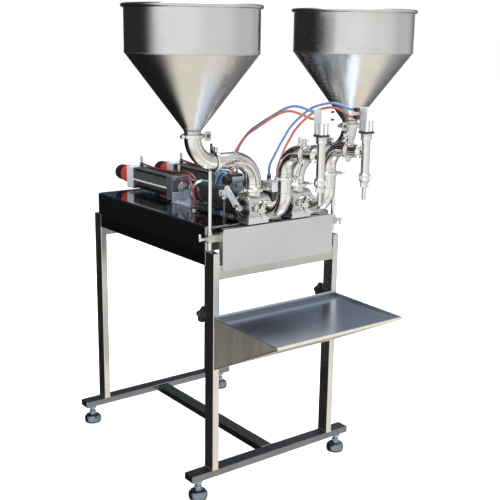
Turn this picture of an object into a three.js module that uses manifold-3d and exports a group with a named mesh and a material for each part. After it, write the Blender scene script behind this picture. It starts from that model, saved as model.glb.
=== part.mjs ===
// Two-head pneumatic piston filler on a welded stand. Millimetres, +Z up, front towards -Y.
// Two hoppers feed two horizontal metering pistons. A rotary valve in front of each piston sends
// the liquid up an outlet pipe to a shut-off nozzle that stands over a height-adjustable tray.
import * as THREE from 'three';
import { mergeVertices } from 'three/addons/utils/BufferGeometryUtils.js';
import Module from 'manifold-3d';

const wasm = await Module();
wasm.setup();

// ---------- driving dimensions ----------
// Lengths along Y are measured from the middle of the stand. ORIGIN_SHIFT_Y moves the finished
// model so that its origin is under the middle of its bounding box.
const ORIGIN_SHIFT_Y = 100;

// stand
const TUBE_NARROW = 25;
const TUBE_WIDE = 50;
const STAND_HALF_X = 275;
const STAND_HALF_Y = 412;
const BASE_HALF_X = 358;
const BASE_BOTTOM_Z = 72;
const LEG_BOTTOM_Z = BASE_BOTTOM_Z + TUBE_NARROW;
const LEG_TOP_Z = 869;
const CROSS_RAIL_BOTTOM_Z = 778;
const FOOT_X = 320;
const FOOT_Y = 388;

// housing on the stand
const BOX_HALF_X = 272;
const BOX_FRONT_Y = -368;
const BOX_REAR_Y = 398;
const BOX_TOP_Z = 950;
const BOX_CORNER_R = 22;
const BOX_WALL = 2;
const PANEL_HALF_X = 241;
const PANEL_BOTTOM_Z = 806;
const PANEL_TOP_Z = 946;
const PANEL_FRONT_Y = -415;
const PANEL_THICKNESS = 3;

// pipe support
const BAR_SIZE = 24;
const BAR_HALF_X = 283;
const BAR_Z = 914;
const POST_X = 270;
const POST_R = 6.75;
const SCREW_HANDLE = 20;
const POST_BOTTOM_Z = 875;
const POST_TOP_Z = 1139;

// product path
const UNIT_X = 93.5;
const HOPPER_X = 337;
const FEED_Y = -380;
const HOPPER_R = 209;
const HOPPER_RIM_R = 218;
const HOPPER_WALL = 2.5;
const HOPPER_TOP_Z = 1654;
const CONE_TOP_Z = 1508;
const CONE_BOTTOM_Z = 1269;
const HOPPER_JOINT_Z = 1253;
const FEED_R = 27;
const FEED_BEND_R = 84;
const FEED_RUN_Z = 1166;
const INLET_JOINT_Z = 1062;
const FERRULE_R = 30.5;
const FERRULE_DEPTH = 4;
const CLAMP_R = 35.5;
const CLAMP_HALF = 7;

// filling unit: valve, metering cylinder, air cylinder
const AXIS_Z = 1004;
const VALVE_Y = -385;
const VALVE_R = 43;
const VALVE_HALF = 45;
const VALVE_BORE_R = 25.5;
const CYLINDER_FRONT_Y = -338;
const CYLINDER_REAR_Y = -66;
const CYLINDER_BORE_R = 40;
const AIR_FRONT_Y = 58;
const AIR_BARREL_FRONT_Y = 100;
const AIR_BARREL_REAR_Y = 343;
const AIR_REAR_Y = 397;
const AIR_BORE_R = 34;
const AIR_CAP_HALF = 43;
const REAR_PORT_Y = 351;
const FRONT_ELBOW_X = -20;
const FRONT_ELBOW_Z = 1036;
const PORT_HOSE_Z = 1056;
const ROD_R = 10;
const KNOB_END_Y = 538;

// valve lever and push rod
const LEVER_OFFSET_X = -66.5;
const LEVER_THICKNESS = 8;
const LEVER_LENGTH = 84;
const LEVER_REST_DEG = 42;
const PUSH_ROD_Y = -307;
const PUSH_ROD_R = 5;

// outlet and nozzle
const OUTLET_R = 23;
const OUTLET_BEND_R = 70;
const OUTLET_JOINT_Y = -458;
const RISER_Y = -545;
const OUTLET_TOP_Z = 1210;
const NOZZLE_JOINT_Y = -637;
const NOZZLE_Y = -714;
const NOZZLE_TIP_Z = 1060;
const NOZZLE_TOP_Z = 1262;
const NOZZLE_R = 13.5;
const NOZZLE_COLLAR_R = 17.5;
const ACTUATOR_HALF = 18.5;
const ACTUATOR_BOTTOM_Z = 1270;
const ACTUATOR_TOP_Z = 1351;
const ACTUATOR_PORTS_Z = [1321, 1344];
const HOSE_R = 4;

// tray
const TRAY_HALF_X = 272;
const TRAY_REAR_Y = -STAND_HALF_Y;
const TRAY_FRONT_Y = -744;
const TRAY_SHEET = 3;
const TRAY_FLOOR_Z = 638;
const KNOB_X = 262.5;
const KNOB_Z = 642;

// sides of the round pieces, by size
const HOPPER_SIDES = 28;
const CYLINDER_SIDES = 20;
const ROUND_SIDES = 14;
const PIPE_SIDES = 12;
const SMALL_SIDES = 8;
const STEPS_PER_BEND = 5;

// ---------- finishes ----------
const POLISHED_STEEL = { color: 0xc9cbcc, roughness: 0.12, metalness: 1 };
const BRUSHED_STEEL = { color: 0xb4b4b2, roughness: 0.35, metalness: 1 };
const ALUMINIUM = { color: 0xb9bcc0, roughness: 0.4, metalness: 1 };
const DARK_STEEL = { color: 0x4a4c4e, roughness: 0.3, metalness: 1 };
const BLACK_PLASTIC = { color: 0x151515, roughness: 0.35, metalness: 0 };
const BLUE_HOSE = { color: 0x3f86b5, roughness: 0.3, metalness: 0 };
const RED_HOSE = { color: 0xc4553f, roughness: 0.3, metalness: 0 };
const FOOT_GREY = { color: 0x76848f, roughness: 0.4, metalness: 0.6 };

// ---------- from geometry to solid and back ----------
function solidOf(geometry) {
  const bare = geometry.index ? geometry.toNonIndexed() : geometry.clone();
  bare.deleteAttribute('normal');
  bare.deleteAttribute('uv');
  const merged = mergeVertices(bare, 1e-3);
  const corners = merged.index.array;
  const kept = [];
  for (let i = 0; i < corners.length; i += 3) {
    const [a, b, c] = [corners[i], corners[i + 1], corners[i + 2]];
    if (a !== b && b !== c && c !== a) kept.push(a, b, c);
  }
  const vertProperties = new Float32Array(merged.attributes.position.array);
  const build = (triVerts) => {
    const mesh = new wasm.Mesh({ numProp: 3, vertProperties, triVerts });
    return new wasm.Manifold(mesh);
  };
  const solid = build(new Uint32Array(kept));
  if (solid.volume() > 0) return solid;
  return build(new Uint32Array(kept.reverse()));
}

function geometryOf(solid) {
  const mesh = solid.getMesh();
  const geometry = new THREE.BufferGeometry();
  geometry.setAttribute('position', new THREE.BufferAttribute(mesh.vertProperties, 3));
  geometry.setIndex(new THREE.BufferAttribute(mesh.triVerts, 1));
  geometry.computeVertexNormals();
  return geometry;
}

const join = (...solids) => solids.reduce((whole, solid) => whole.add(solid));

// ---------- basic shapes, each placed where it belongs ----------
function block([x0, x1], [y0, y1], [z0, z1]) {
  const geometry = new THREE.BoxGeometry(x1 - x0, y1 - y0, z1 - z0);
  geometry.translate((x0 + x1) / 2, (y0 + y1) / 2, (z0 + z1) / 2);
  return solidOf(geometry);
}

const around = (centre, half) => [centre - half, centre + half];

// A turned solid. Each profile point is [radius, place along the axis].
function turned(axis, centre, profile, sides = ROUND_SIDES) {
  const outline = profile.map(([radius, along]) => new THREE.Vector2(radius, along));
  const geometry = new THREE.LatheGeometry(outline, sides);
  if (axis === 'z') geometry.rotateX(Math.PI / 2);
  if (axis === 'x') geometry.rotateZ(-Math.PI / 2);
  geometry.translate(...centre);
  return solidOf(geometry);
}

const rod = (axis, centre, radius, from, to, sides = ROUND_SIDES) =>
  turned(axis, centre, [[0, from], [radius, from], [radius, to], [0, to]], sides);

const tube = (axis, centre, inner, outer, from, to, sides = ROUND_SIDES) =>
  turned(axis, centre, [[inner, from], [outer, from], [outer, to], [inner, to], [inner, from]], sides);

const plate = (outline, thickness) => new THREE.ExtrudeGeometry(outline, {
  depth: thickness, bevelEnabled: false, curveSegments: 5,
});

function roundedRectangle([x0, x1], [y0, y1], radius) {
  const shape = new THREE.Shape();
  const quarter = Math.PI / 2;
  shape.absarc(x1 - radius, y0 + radius, radius, -quarter, 0);
  shape.absarc(x1 - radius, y1 - radius, radius, 0, quarter);
  shape.absarc(x0 + radius, y1 - radius, radius, quarter, 2 * quarter);
  shape.absarc(x0 + radius, y0 + radius, radius, 2 * quarter, 3 * quarter);
  return shape;
}

// A path given by its own stations, so that a straight stretch costs no extra steps.
class StationPath extends THREE.Curve {
  constructor(stations) {
    super();
    this.stations = stations;
  }

  station(t) {
    return this.stations[Math.round(t * (this.stations.length - 1))];
  }

  getPoint(t) {
    return this.station(t).point.clone();
  }

  getTangent(t) {
    return this.station(t).tangent.clone();
  }

  getPointAt(t) {
    return this.getPoint(t);
  }

  getTangentAt(t) {
    return this.getTangent(t);
  }
}

// Stations of a bent pipe: straight runs between corners, each corner an arc.
function bentPath(corners, bendRadius, stepsPerBend) {
  const points = corners.map((corner) => new THREE.Vector3(...corner));
  const stations = [];
  const last = points.length - 1;
  const headingFrom = (i) => points[i + 1].clone().sub(points[i]).normalize();
  stations.push({ point: points[0], tangent: headingFrom(0) });
  for (let i = 1; i < last; i += 1) {
    const entry = headingFrom(i - 1);
    const exit = headingFrom(i);
    const centre = points[i].clone().addScaledVector(entry, -bendRadius);
    centre.addScaledVector(exit, bendRadius);
    for (let step = 0; step <= stepsPerBend; step += 1) {
      const angle = (step / stepsPerBend) * (Math.PI / 2);
      const point = centre.clone();
      point.addScaledVector(exit, -bendRadius * Math.cos(angle));
      point.addScaledVector(entry, bendRadius * Math.sin(angle));
      const tangent = entry.clone().multiplyScalar(Math.cos(angle));
      tangent.addScaledVector(exit, Math.sin(angle));
      stations.push({ point, tangent });
    }
  }
  stations.push({ point: points[last], tangent: headingFrom(last - 1) });
  return new StationPath(stations);
}

function sweep(path, steps, radius, sides) {
  const section = new THREE.Shape();
  section.absarc(0, 0, radius, 0, 2 * Math.PI);
  const geometry = new THREE.ExtrudeGeometry(section, {
    steps, extrudePath: path, curveSegments: sides / 2, bevelEnabled: false,
  });
  return solidOf(geometry);
}

function bentPipe(corners, bendRadius, radius) {
  const path = bentPath(corners, bendRadius, STEPS_PER_BEND);
  return sweep(path, path.stations.length - 1, radius, PIPE_SIDES);
}

function hose(points) {
  const curve = new THREE.CatmullRomCurve3(points.map((p) => new THREE.Vector3(...p)), false, 'centripetal');
  const steps = Math.ceil(curve.getLength() / (HOSE_R * 6));
  return sweep(curve, steps, HOSE_R, SMALL_SIDES);
}

// ---------- stand ----------
function leg(sideX, sideY) {
  const x = [STAND_HALF_X - TUBE_NARROW, STAND_HALF_X].map((v) => v * sideX).sort((a, b) => a - b);
  const y = [STAND_HALF_Y - TUBE_WIDE, STAND_HALF_Y].map((v) => v * sideY).sort((a, b) => a - b);
  const post = block(x, y, [LEG_BOTTOM_Z, LEG_TOP_Z]);
  if (sideY > 0) return post;
  const boltHole = rod('y', [KNOB_X * sideX, 0, KNOB_Z], 4.8, y[0] - 1, y[1] + 1, SMALL_SIDES);
  return post.subtract(boltHole);
}

// The welded stand: two base bars and a beam, four legs, and the rails under the housing.
function stand() {
  const z = [BASE_BOTTOM_Z, LEG_BOTTOM_Z];
  const inner = STAND_HALF_Y - TUBE_WIDE;
  const bars = [block(around(0, TUBE_WIDE / 2), [-inner, inner], z)];
  for (const sideY of [-1, 1]) {
    const y = [inner, STAND_HALF_Y].map((v) => v * sideY).sort((a, b) => a - b);
    bars.push(block([-BASE_HALF_X, BASE_HALF_X], y, z), crossRail(sideY));
    for (const sideX of [-1, 1]) bars.push(leg(sideX, sideY));
  }
  return join(...bars, sideRail(-1), sideRail(1));
}

function sideRail(side) {
  const x = [STAND_HALF_X - TUBE_NARROW, STAND_HALF_X].map((v) => v * side).sort((a, b) => a - b);
  return block(x, around(0, STAND_HALF_Y - TUBE_WIDE), [LEG_TOP_Z - TUBE_WIDE, LEG_TOP_Z]);
}

function crossRail(side) {
  const y = [STAND_HALF_Y - TUBE_NARROW, STAND_HALF_Y].map((v) => v * side).sort((a, b) => a - b);
  const z = [CROSS_RAIL_BOTTOM_Z, CROSS_RAIL_BOTTOM_Z + TUBE_WIDE];
  return block(around(0, STAND_HALF_X - TUBE_NARROW), y, z);
}

function foot(sideX, sideY) {
  const profile = [
    [0, 0], [31, 0], [33, 5], [33, 22], [27, 29], [15, 33], [15, 44], [10, 47], [10, 60], [18, 62],
    [18, BASE_BOTTOM_Z],
    [0, BASE_BOTTOM_Z],
  ];
  return turned('z', [FOOT_X * sideX, FOOT_Y * sideY, 0], profile);
}

// ---------- housing ----------
// Hose fittings in the housing's top and in the carrier, as offsets from a unit's axis or places.
const BULKHEAD_R = 7.5;
const BULKHEAD_TOP_Z = BOX_TOP_Z + 18;
const FRONT_PORT_EXIT = [-54, -110];
const REAR_PORT_EXIT = [30, -8];
const SUPPLY_EXITS = [[-30, -95], [-42, -95]];

const bulkhead = (x, y, bottom) =>
  rod('z', [x, y, 0], BULKHEAD_R, bottom, BULKHEAD_TOP_Z, SMALL_SIDES);

function machineBox() {
  const shellPart = (inset, height) => {
    const x = around(0, BOX_HALF_X - inset);
    const y = [BOX_FRONT_Y + inset, BOX_REAR_Y - inset];
    return plate(roundedRectangle(x, y, BOX_CORNER_R - inset), height);
  };
  const height = BOX_TOP_Z - LEG_TOP_Z;
  const outside = shellPart(0, height);
  outside.translate(0, 0, LEG_TOP_Z);
  const inside = shellPart(BOX_WALL, height);
  inside.translate(0, 0, LEG_TOP_Z - BOX_WALL);
  let shell = solidOf(outside).subtract(solidOf(inside));
  for (const unitX of [-UNIT_X, UNIT_X]) {
    const centre = [unitX + LEVER_OFFSET_X, PUSH_ROD_Y, 0];
    shell = shell.subtract(rod('z', centre, PUSH_ROD_R + 1, BOX_TOP_Z - 5, BOX_TOP_Z + 1, SMALL_SIDES));
    const [exitX, exitY] = FRONT_PORT_EXIT;
    shell = shell.add(bulkhead(unitX + exitX, exitY, BOX_TOP_Z - 1));
  }
  return join(shell, ...SUPPLY_EXITS.map(([x, y]) => bulkhead(x, y, BOX_TOP_Z - 1)));
}

function frontPanel() {
  const face = plate(
    roundedRectangle(around(0, PANEL_HALF_X), [PANEL_BOTTOM_Z, PANEL_TOP_Z], 9), PANEL_THICKNESS,
  );
  face.rotateX(Math.PI / 2);
  face.translate(0, PANEL_FRONT_Y + PANEL_THICKNESS, 0);
  const backY = FEED_Y - BAR_SIZE / 2;
  const returnY = [PANEL_FRONT_Y + 1, backY];
  const flanges = [block(around(0, PANEL_HALF_X - 12), returnY, [PANEL_TOP_Z - 3, PANEL_TOP_Z])];
  for (const side of [-1, 1]) {
    const x = around(side * (PANEL_HALF_X - 1.5), 1.5);
    flanges.push(block(x, returnY, [PANEL_BOTTOM_Z + 26, PANEL_TOP_Z - 12]));
  }
  return join(solidOf(face), ...flanges);
}

// ---------- pipe support ----------
function crossBar() {
  let bar = block(around(0, BAR_HALF_X), around(FEED_Y, BAR_SIZE / 2), around(BAR_Z, BAR_SIZE / 2));
  for (const side of [-1, 1]) {
    const x = side * POST_X;
    const ends = [x, side * (BAR_HALF_X + 1)].sort((a, b) => a - b);
    bar = bar.subtract(rod('z', [x, FEED_Y, 0], POST_R + 0.4, BAR_Z - 20, BAR_Z + 20));
    bar = bar.subtract(rod('x', [0, FEED_Y, BAR_Z], 5.7, ...ends, SMALL_SIDES));
  }
  return bar;
}

const post = (side) => rod('z', [side * POST_X, FEED_Y, 0], POST_R, POST_BOTTOM_Z, POST_TOP_Z);

// A locking screw with a bent handle. The left handle stands up and the right one hangs down.
function postScrew(side) {
  const tip = side * (POST_X + POST_R + 0.5);
  const end = side * (BAR_HALF_X + 31);
  const [from, to] = [tip, end].sort((a, b) => a - b);
  const shank = rod('x', [0, FEED_Y, BAR_Z], 5, from, to, SMALL_SIDES);
  const handleX = side * (BAR_HALF_X + 26);
  const [low, high] = [BAR_Z, BAR_Z - side * SCREW_HANDLE].sort((a, b) => a - b);
  return join(shank, rod('z', [handleX, FEED_Y, 0], 5, low, high, SMALL_SIDES));
}

// ---------- clamps, hoppers and feed pipes ----------
// A ring clamp on a vertical joint: a hinge lug on one side, ears with a wing bolt on the other.
function ringClamp(x, z, boltSide, wingHalf) {
  const ring = tube('z', [x, FEED_Y, 0], FERRULE_R + 1.2, CLAMP_R, z - CLAMP_HALF, z + CLAMP_HALF);
  const span = (near, far) => [x + boltSide * near, x + boltSide * far].sort((a, b) => a - b);
  const lug = block(span(-CLAMP_R + 2, -CLAMP_R - 9), around(FEED_Y, 7), around(z, 5));
  const ears = block(span(CLAMP_R - 2, CLAMP_R + 15), around(FEED_Y, 8), around(z, 5.5));
  const boltX = x + boltSide * (CLAMP_R + 9);
  const bolt = rod('y', [boltX, 0, z], 3.5, FEED_Y - 26, FEED_Y + 13, SMALL_SIDES);
  const wings = block(around(boltX, 12), [FEED_Y - 24, FEED_Y - 18], around(z, wingHalf));
  return join(ring, lug, ears, bolt, wings);
}

function hopper(side) {
  const insideR = HOPPER_R - HOPPER_WALL;
  const boreR = 23.5;
  const profile = [
    [insideR, HOPPER_TOP_Z], [HOPPER_RIM_R - 4, HOPPER_TOP_Z], [HOPPER_RIM_R, HOPPER_TOP_Z - 4],
    [HOPPER_RIM_R, HOPPER_TOP_Z - 10], [HOPPER_RIM_R - 4, HOPPER_TOP_Z - 14],
    [HOPPER_R, HOPPER_TOP_Z - 14], [HOPPER_R, CONE_TOP_Z], [26, CONE_BOTTOM_Z],
    [26, HOPPER_JOINT_Z + FERRULE_DEPTH], [FERRULE_R, HOPPER_JOINT_Z + FERRULE_DEPTH],
    [FERRULE_R, HOPPER_JOINT_Z], [boreR, HOPPER_JOINT_Z], [boreR, CONE_BOTTOM_Z + 1.5],
    [insideR, CONE_TOP_Z + 1.5], [insideR, HOPPER_TOP_Z],
  ];
  return turned('z', [side * HOPPER_X, FEED_Y, 0], profile, HOPPER_SIDES);
}

function feedPipe(side) {
  const corners = [
    [side * HOPPER_X, FEED_Y, HOPPER_JOINT_Z],
    [side * HOPPER_X, FEED_Y, FEED_RUN_Z],
    [side * UNIT_X, FEED_Y, FEED_RUN_Z],
    [side * UNIT_X, FEED_Y, INLET_JOINT_Z],
  ];
  const pipe = bentPipe(corners, FEED_BEND_R, FEED_R);
  const topFerrule = rod('z', [side * HOPPER_X, FEED_Y, 0], FERRULE_R,
    HOPPER_JOINT_Z - FERRULE_DEPTH, HOPPER_JOINT_Z);
  const lowFerrule = rod('z', [side * UNIT_X, FEED_Y, 0], FERRULE_R,
    INLET_JOINT_Z, INLET_JOINT_Z + FERRULE_DEPTH);
  const unionX = side * 250;
  const union = rod('x', [0, FEED_Y, FEED_RUN_Z], 34, unionX - 7, unionX + 7);
  const lock = block(around(unionX, 5), around(FEED_Y, 8), [FEED_RUN_Z + 30, FEED_RUN_Z + 48]);
  return join(pipe, topFerrule, lowFerrule, union, lock);
}

// ---------- valve ----------
function valveBody(x) {
  const housing = rod('x', [0, VALVE_Y, AXIS_Z], VALVE_R, x - VALVE_HALF, x + VALVE_HALF, CYLINDER_SIDES);
  const inlet = turned('z', [x, FEED_Y, 0], [
    [0, AXIS_Z], [FEED_R, AXIS_Z], [FEED_R, INLET_JOINT_Z - FERRULE_DEPTH],
    [FERRULE_R, INLET_JOINT_Z - FERRULE_DEPTH], [FERRULE_R, INLET_JOINT_Z], [0, INLET_JOINT_Z],
  ]);
  const outlet = turned('y', [x, 0, AXIS_Z], [
    [0, OUTLET_JOINT_Y], [28, OUTLET_JOINT_Y], [28, OUTLET_JOINT_Y + FERRULE_DEPTH],
    [OUTLET_R, OUTLET_JOINT_Y + FERRULE_DEPTH], [OUTLET_R, VALVE_Y], [0, VALVE_Y],
  ]);
  const rear = turned('y', [x, 0, AXIS_Z], [
    [0, VALVE_Y], [40, VALVE_Y], [40, CYLINDER_FRONT_Y - 8], [48, CYLINDER_FRONT_Y - 8],
    [48, CYLINDER_FRONT_Y], [0, CYLINDER_FRONT_Y],
  ], CYLINDER_SIDES);
  const saddle = block(around(x, 42), around(VALVE_Y, 30), [BOX_TOP_Z, AXIS_Z - 20]);
  const ends = [x - VALVE_HALF - 1, x + VALVE_HALF + 1];
  const bore = rod('x', [0, VALVE_Y, AXIS_Z], VALVE_BORE_R, ...ends, CYLINDER_SIDES);
  return join(housing, inlet, outlet, rear, saddle).subtract(bore);
}

// The turning plug, its shaft and the lever that the push rod lifts.
function valveRotor(x) {
  const centre = [0, VALVE_Y, AXIS_Z];
  const plugR = VALVE_BORE_R - 0.6;
  const plug = rod('x', centre, plugR, x - VALVE_HALF, x + VALVE_HALF, CYLINDER_SIDES);
  const leverX = around(x + LEVER_OFFSET_X, LEVER_THICKNESS / 2);
  const shaft = rod('x', centre, 8, leverX[0] - 4, x - VALVE_HALF + 1, SMALL_SIDES);
  const halfWidth = 9;
  const outline = new THREE.Shape();
  outline.absarc(0, 0, halfWidth + 4, Math.PI / 2, 1.5 * Math.PI);
  outline.absarc(LEVER_LENGTH, 0, halfWidth + 2, -Math.PI / 2, Math.PI / 2);
  const arm = plate(outline, LEVER_THICKNESS);
  arm.rotateZ(THREE.MathUtils.degToRad(LEVER_REST_DEG));
  arm.rotateY(Math.PI / 2);
  arm.rotateX(Math.PI / 2);
  arm.translate(leverX[0], VALVE_Y, AXIS_Z);
  return join(plug, shaft, solidOf(arm));
}

// The fork that the lever's tip lies in, on a rod that comes up through the housing.
function pushRod(x) {
  const leverX = x + LEVER_OFFSET_X;
  const forkBottom = 1032;
  const slotBottom = 1040;
  const forkTop = 1054;
  const forkY = around(PUSH_ROD_Y, 16);
  const stem = rod('z', [leverX, PUSH_ROD_Y, 0], PUSH_ROD_R, BOX_TOP_Z - 10, forkBottom + 1, SMALL_SIDES);
  const fork = block(around(leverX, 11), forkY, [forkBottom, forkTop]);
  const slot = block(around(leverX, LEVER_THICKNESS / 2 + 1), [forkY[0] - 1, forkY[1] + 1],
    [slotBottom, forkTop + 1]);
  return join(stem, fork).subtract(slot);
}

// ---------- metering and air cylinders ----------
function meteringCylinder(x) {
  const profile = [
    [CYLINDER_BORE_R, CYLINDER_FRONT_Y], [48, CYLINDER_FRONT_Y], [48, CYLINDER_FRONT_Y + 10],
    [44, CYLINDER_FRONT_Y + 10], [44, CYLINDER_REAR_Y - 10], [48, CYLINDER_REAR_Y - 10],
    [48, CYLINDER_REAR_Y], [CYLINDER_BORE_R, CYLINDER_REAR_Y], [CYLINDER_BORE_R, CYLINDER_FRONT_Y],
  ];
  return turned('y', [x, 0, AXIS_Z], profile, CYLINDER_SIDES);
}

// The product piston and the air piston share one rod.
function piston(x) {
  const productY = CYLINDER_FRONT_Y + 4;
  const airY = AIR_BARREL_FRONT_Y + 4;
  const thickness = 25;
  const productR = CYLINDER_BORE_R - 0.6;
  const airR = AIR_BORE_R - 0.6;
  const profile = [
    [0, productY], [productR, productY], [productR, productY + thickness],
    [ROD_R, productY + thickness], [ROD_R, airY], [airR, airY],
    [airR, airY + thickness], [0, airY + thickness],
  ];
  return turned('y', [x, 0, AXIS_Z], profile, CYLINDER_SIDES);
}

function airCylinder(x) {
  const cap = (y) => block(around(x, AIR_CAP_HALF), y, around(AXIS_Z, AIR_CAP_HALF));
  const centre = [x, 0, AXIS_Z];
  const barrel = tube('y', centre, AIR_BORE_R, AIR_BORE_R + 4, AIR_BARREL_FRONT_Y, AIR_BARREL_REAR_Y,
    CYLINDER_SIDES);
  const rods = [];
  const bolts = 33;
  const rodY = [AIR_BARREL_FRONT_Y - 1, AIR_BARREL_REAR_Y + 1];
  for (const across of [-bolts, bolts]) {
    for (const up of [-bolts, bolts]) {
      rods.push(rod('y', [x + across, 0, AXIS_Z + up], 4.5, ...rodY, SMALL_SIDES));
    }
  }
  const sensorRail = rod('y', [x - AIR_BORE_R - 7, 0, AXIS_Z - 5], 5, ...rodY, SMALL_SIDES);
  const ports = [AIR_FRONT_Y + 20, REAR_PORT_Y].map((y) =>
    turned('z', [x, y, 0], [
      [0, AXIS_Z + AIR_CAP_HALF - 1], [8, AXIS_Z + AIR_CAP_HALF - 1], [8, AXIS_Z + AIR_CAP_HALF + 14],
      [4, AXIS_Z + AIR_CAP_HALF + 16], [4, AXIS_Z + AIR_CAP_HALF + 40], [0, AXIS_Z + AIR_CAP_HALF + 40],
    ], SMALL_SIDES));
  const frontElbow = rod('y', [x + FRONT_ELBOW_X, 0, FRONT_ELBOW_Z], 7,
    AIR_FRONT_Y - 14, AIR_FRONT_Y + 1, SMALL_SIDES);
  const rearElbow = rod('y', [x, 0, PORT_HOSE_Z], 6.5, REAR_PORT_Y - 16, REAR_PORT_Y, SMALL_SIDES);
  const whole = join(
    cap([AIR_FRONT_Y, AIR_BARREL_FRONT_Y]), cap([AIR_BARREL_REAR_Y, AIR_REAR_Y]),
    barrel, sensorRail, ...rods, ...ports, frontElbow, rearElbow,
  );
  const rodHole = rod('y', centre, ROD_R + 0.5, AIR_FRONT_Y - 1, AIR_BARREL_FRONT_Y + 1);
  const screwHole = rod('y', centre, 8.6, AIR_BARREL_REAR_Y - 1, AIR_REAR_Y + 1);
  return whole.subtract(rodHole).subtract(screwHole);
}

// The stroke is set by a screw that stops the air piston. Its drum and knob are behind the cap.
function strokeKnob(x) {
  const profile = [
    [0, AIR_BARREL_REAR_Y + 2], [8, AIR_BARREL_REAR_Y + 2], [8, AIR_REAR_Y], [35, AIR_REAR_Y],
    [35, 460], [31, 462], [31, 508], [21, 530], [0, KNOB_END_Y],
  ];
  return turned('y', [x, 0, AXIS_Z], profile);
}

function cylinderCarrier() {
  const footTop = BOX_TOP_Z + 8;
  const parts = [block(around(0, 140), [CYLINDER_REAR_Y, AIR_FRONT_Y], [BOX_TOP_Z, footTop])];
  for (const x of [-UNIT_X, UNIT_X]) {
    const upright = block(around(x, 44), [CYLINDER_REAR_Y, CYLINDER_REAR_Y + 10], [footTop - 1, 1036]);
    const rodHole = rod('y', [x, 0, AXIS_Z], ROD_R + 2, CYLINDER_REAR_Y - 1, CYLINDER_REAR_Y + 11);
    parts.push(upright.subtract(rodHole));
    parts.push(block(around(x, 44), [AIR_FRONT_Y - 12, AIR_FRONT_Y], [footTop - 1, 990]));
    parts.push(bulkhead(x + REAR_PORT_EXIT[0], REAR_PORT_EXIT[1], footTop - 1));
  }
  return join(...parts);
}

// ---------- outlet and nozzle ----------
// The flange at a pipe's end, with a lip that reaches over the neighbour's ferrule.
function endClamp(x, z, jointY, reach, outer, inner) {
  const profile = [
    [0, jointY - reach], [outer, jointY - reach], [outer, jointY + reach],
    [inner, jointY + reach], [inner, jointY], [0, jointY],
  ];
  return turned('y', [x, 0, z], profile);
}

function outletPipe(x) {
  const corners = [
    [x, OUTLET_JOINT_Y, AXIS_Z], [x, RISER_Y, AXIS_Z],
    [x, RISER_Y, OUTLET_TOP_Z], [x, NOZZLE_JOINT_Y, OUTLET_TOP_Z],
  ];
  const pipe = bentPipe(corners, OUTLET_BEND_R, OUTLET_R);
  const lowClamp = endClamp(x, AXIS_Z, OUTLET_JOINT_Y, 7, 32, 28.5);
  const topClamp = endClamp(x, OUTLET_TOP_Z, NOZZLE_JOINT_Y, -7, 30, 26.5);
  const unionZ = 1122;
  const union = rod('z', [x, RISER_Y, 0], 30, unionZ - 7, unionZ + 7);
  const unionLock = block([x + 26, x + 44], around(RISER_Y, 7), around(unionZ, 5));
  const lowLock = block([x + 28, x + 44], around(OUTLET_JOINT_Y - 3, 5), around(AXIS_Z, 7));
  const topLock = block(around(x, 6), around(NOZZLE_JOINT_Y + 3, 5), [OUTLET_TOP_Z + 27, OUTLET_TOP_Z + 52]);
  return join(pipe, lowClamp, topClamp, union, unionLock, lowLock, topLock);
}

function nozzleBody(x) {
  const mouthR = 5;
  const tipBoreR = 5.4;
  const boreR = 10.5;
  const outside = [
    [0, NOZZLE_TIP_Z], [7, NOZZLE_TIP_Z], [7, 1098], [13.5, 1100], [13.5, 1118], [18, 1120], [18, 1143],
    [NOZZLE_R, 1145], [NOZZLE_R, 1250], [NOZZLE_COLLAR_R, 1250], [NOZZLE_COLLAR_R, NOZZLE_TOP_Z],
    [0, NOZZLE_TOP_Z],
  ];
  const branch = turned('y', [x, 0, OUTLET_TOP_Z], [
    [0, NOZZLE_Y], [12, NOZZLE_Y], [12, NOZZLE_Y + 16], [21, NOZZLE_Y + 28],
    [21, NOZZLE_JOINT_Y - FERRULE_DEPTH], [26, NOZZLE_JOINT_Y - FERRULE_DEPTH], [26, NOZZLE_JOINT_Y],
    [0, NOZZLE_JOINT_Y],
  ]);
  const bore = [
    [0, NOZZLE_TIP_Z - 1], [mouthR, NOZZLE_TIP_Z - 1], [mouthR, NOZZLE_TIP_Z + 8],
    [tipBoreR, NOZZLE_TIP_Z + 10], [tipBoreR, 1104], [boreR, 1112], [boreR, NOZZLE_TOP_Z + 1],
    [0, NOZZLE_TOP_Z + 1],
  ];
  const centre = [x, NOZZLE_Y, 0];
  return join(turned('z', centre, outside), branch).subtract(turned('z', centre, bore));
}

function nozzlePlunger(x) {
  const profile = [
    [0, NOZZLE_TIP_Z + 1], [4.4, NOZZLE_TIP_Z + 1], [4.4, NOZZLE_TIP_Z + 7], [3.5, NOZZLE_TIP_Z + 10],
    [3.5, 1285], [14.4, 1285], [14.4, 1297], [0, 1297],
  ];
  return turned('z', [x, NOZZLE_Y, 0], profile);
}

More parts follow.
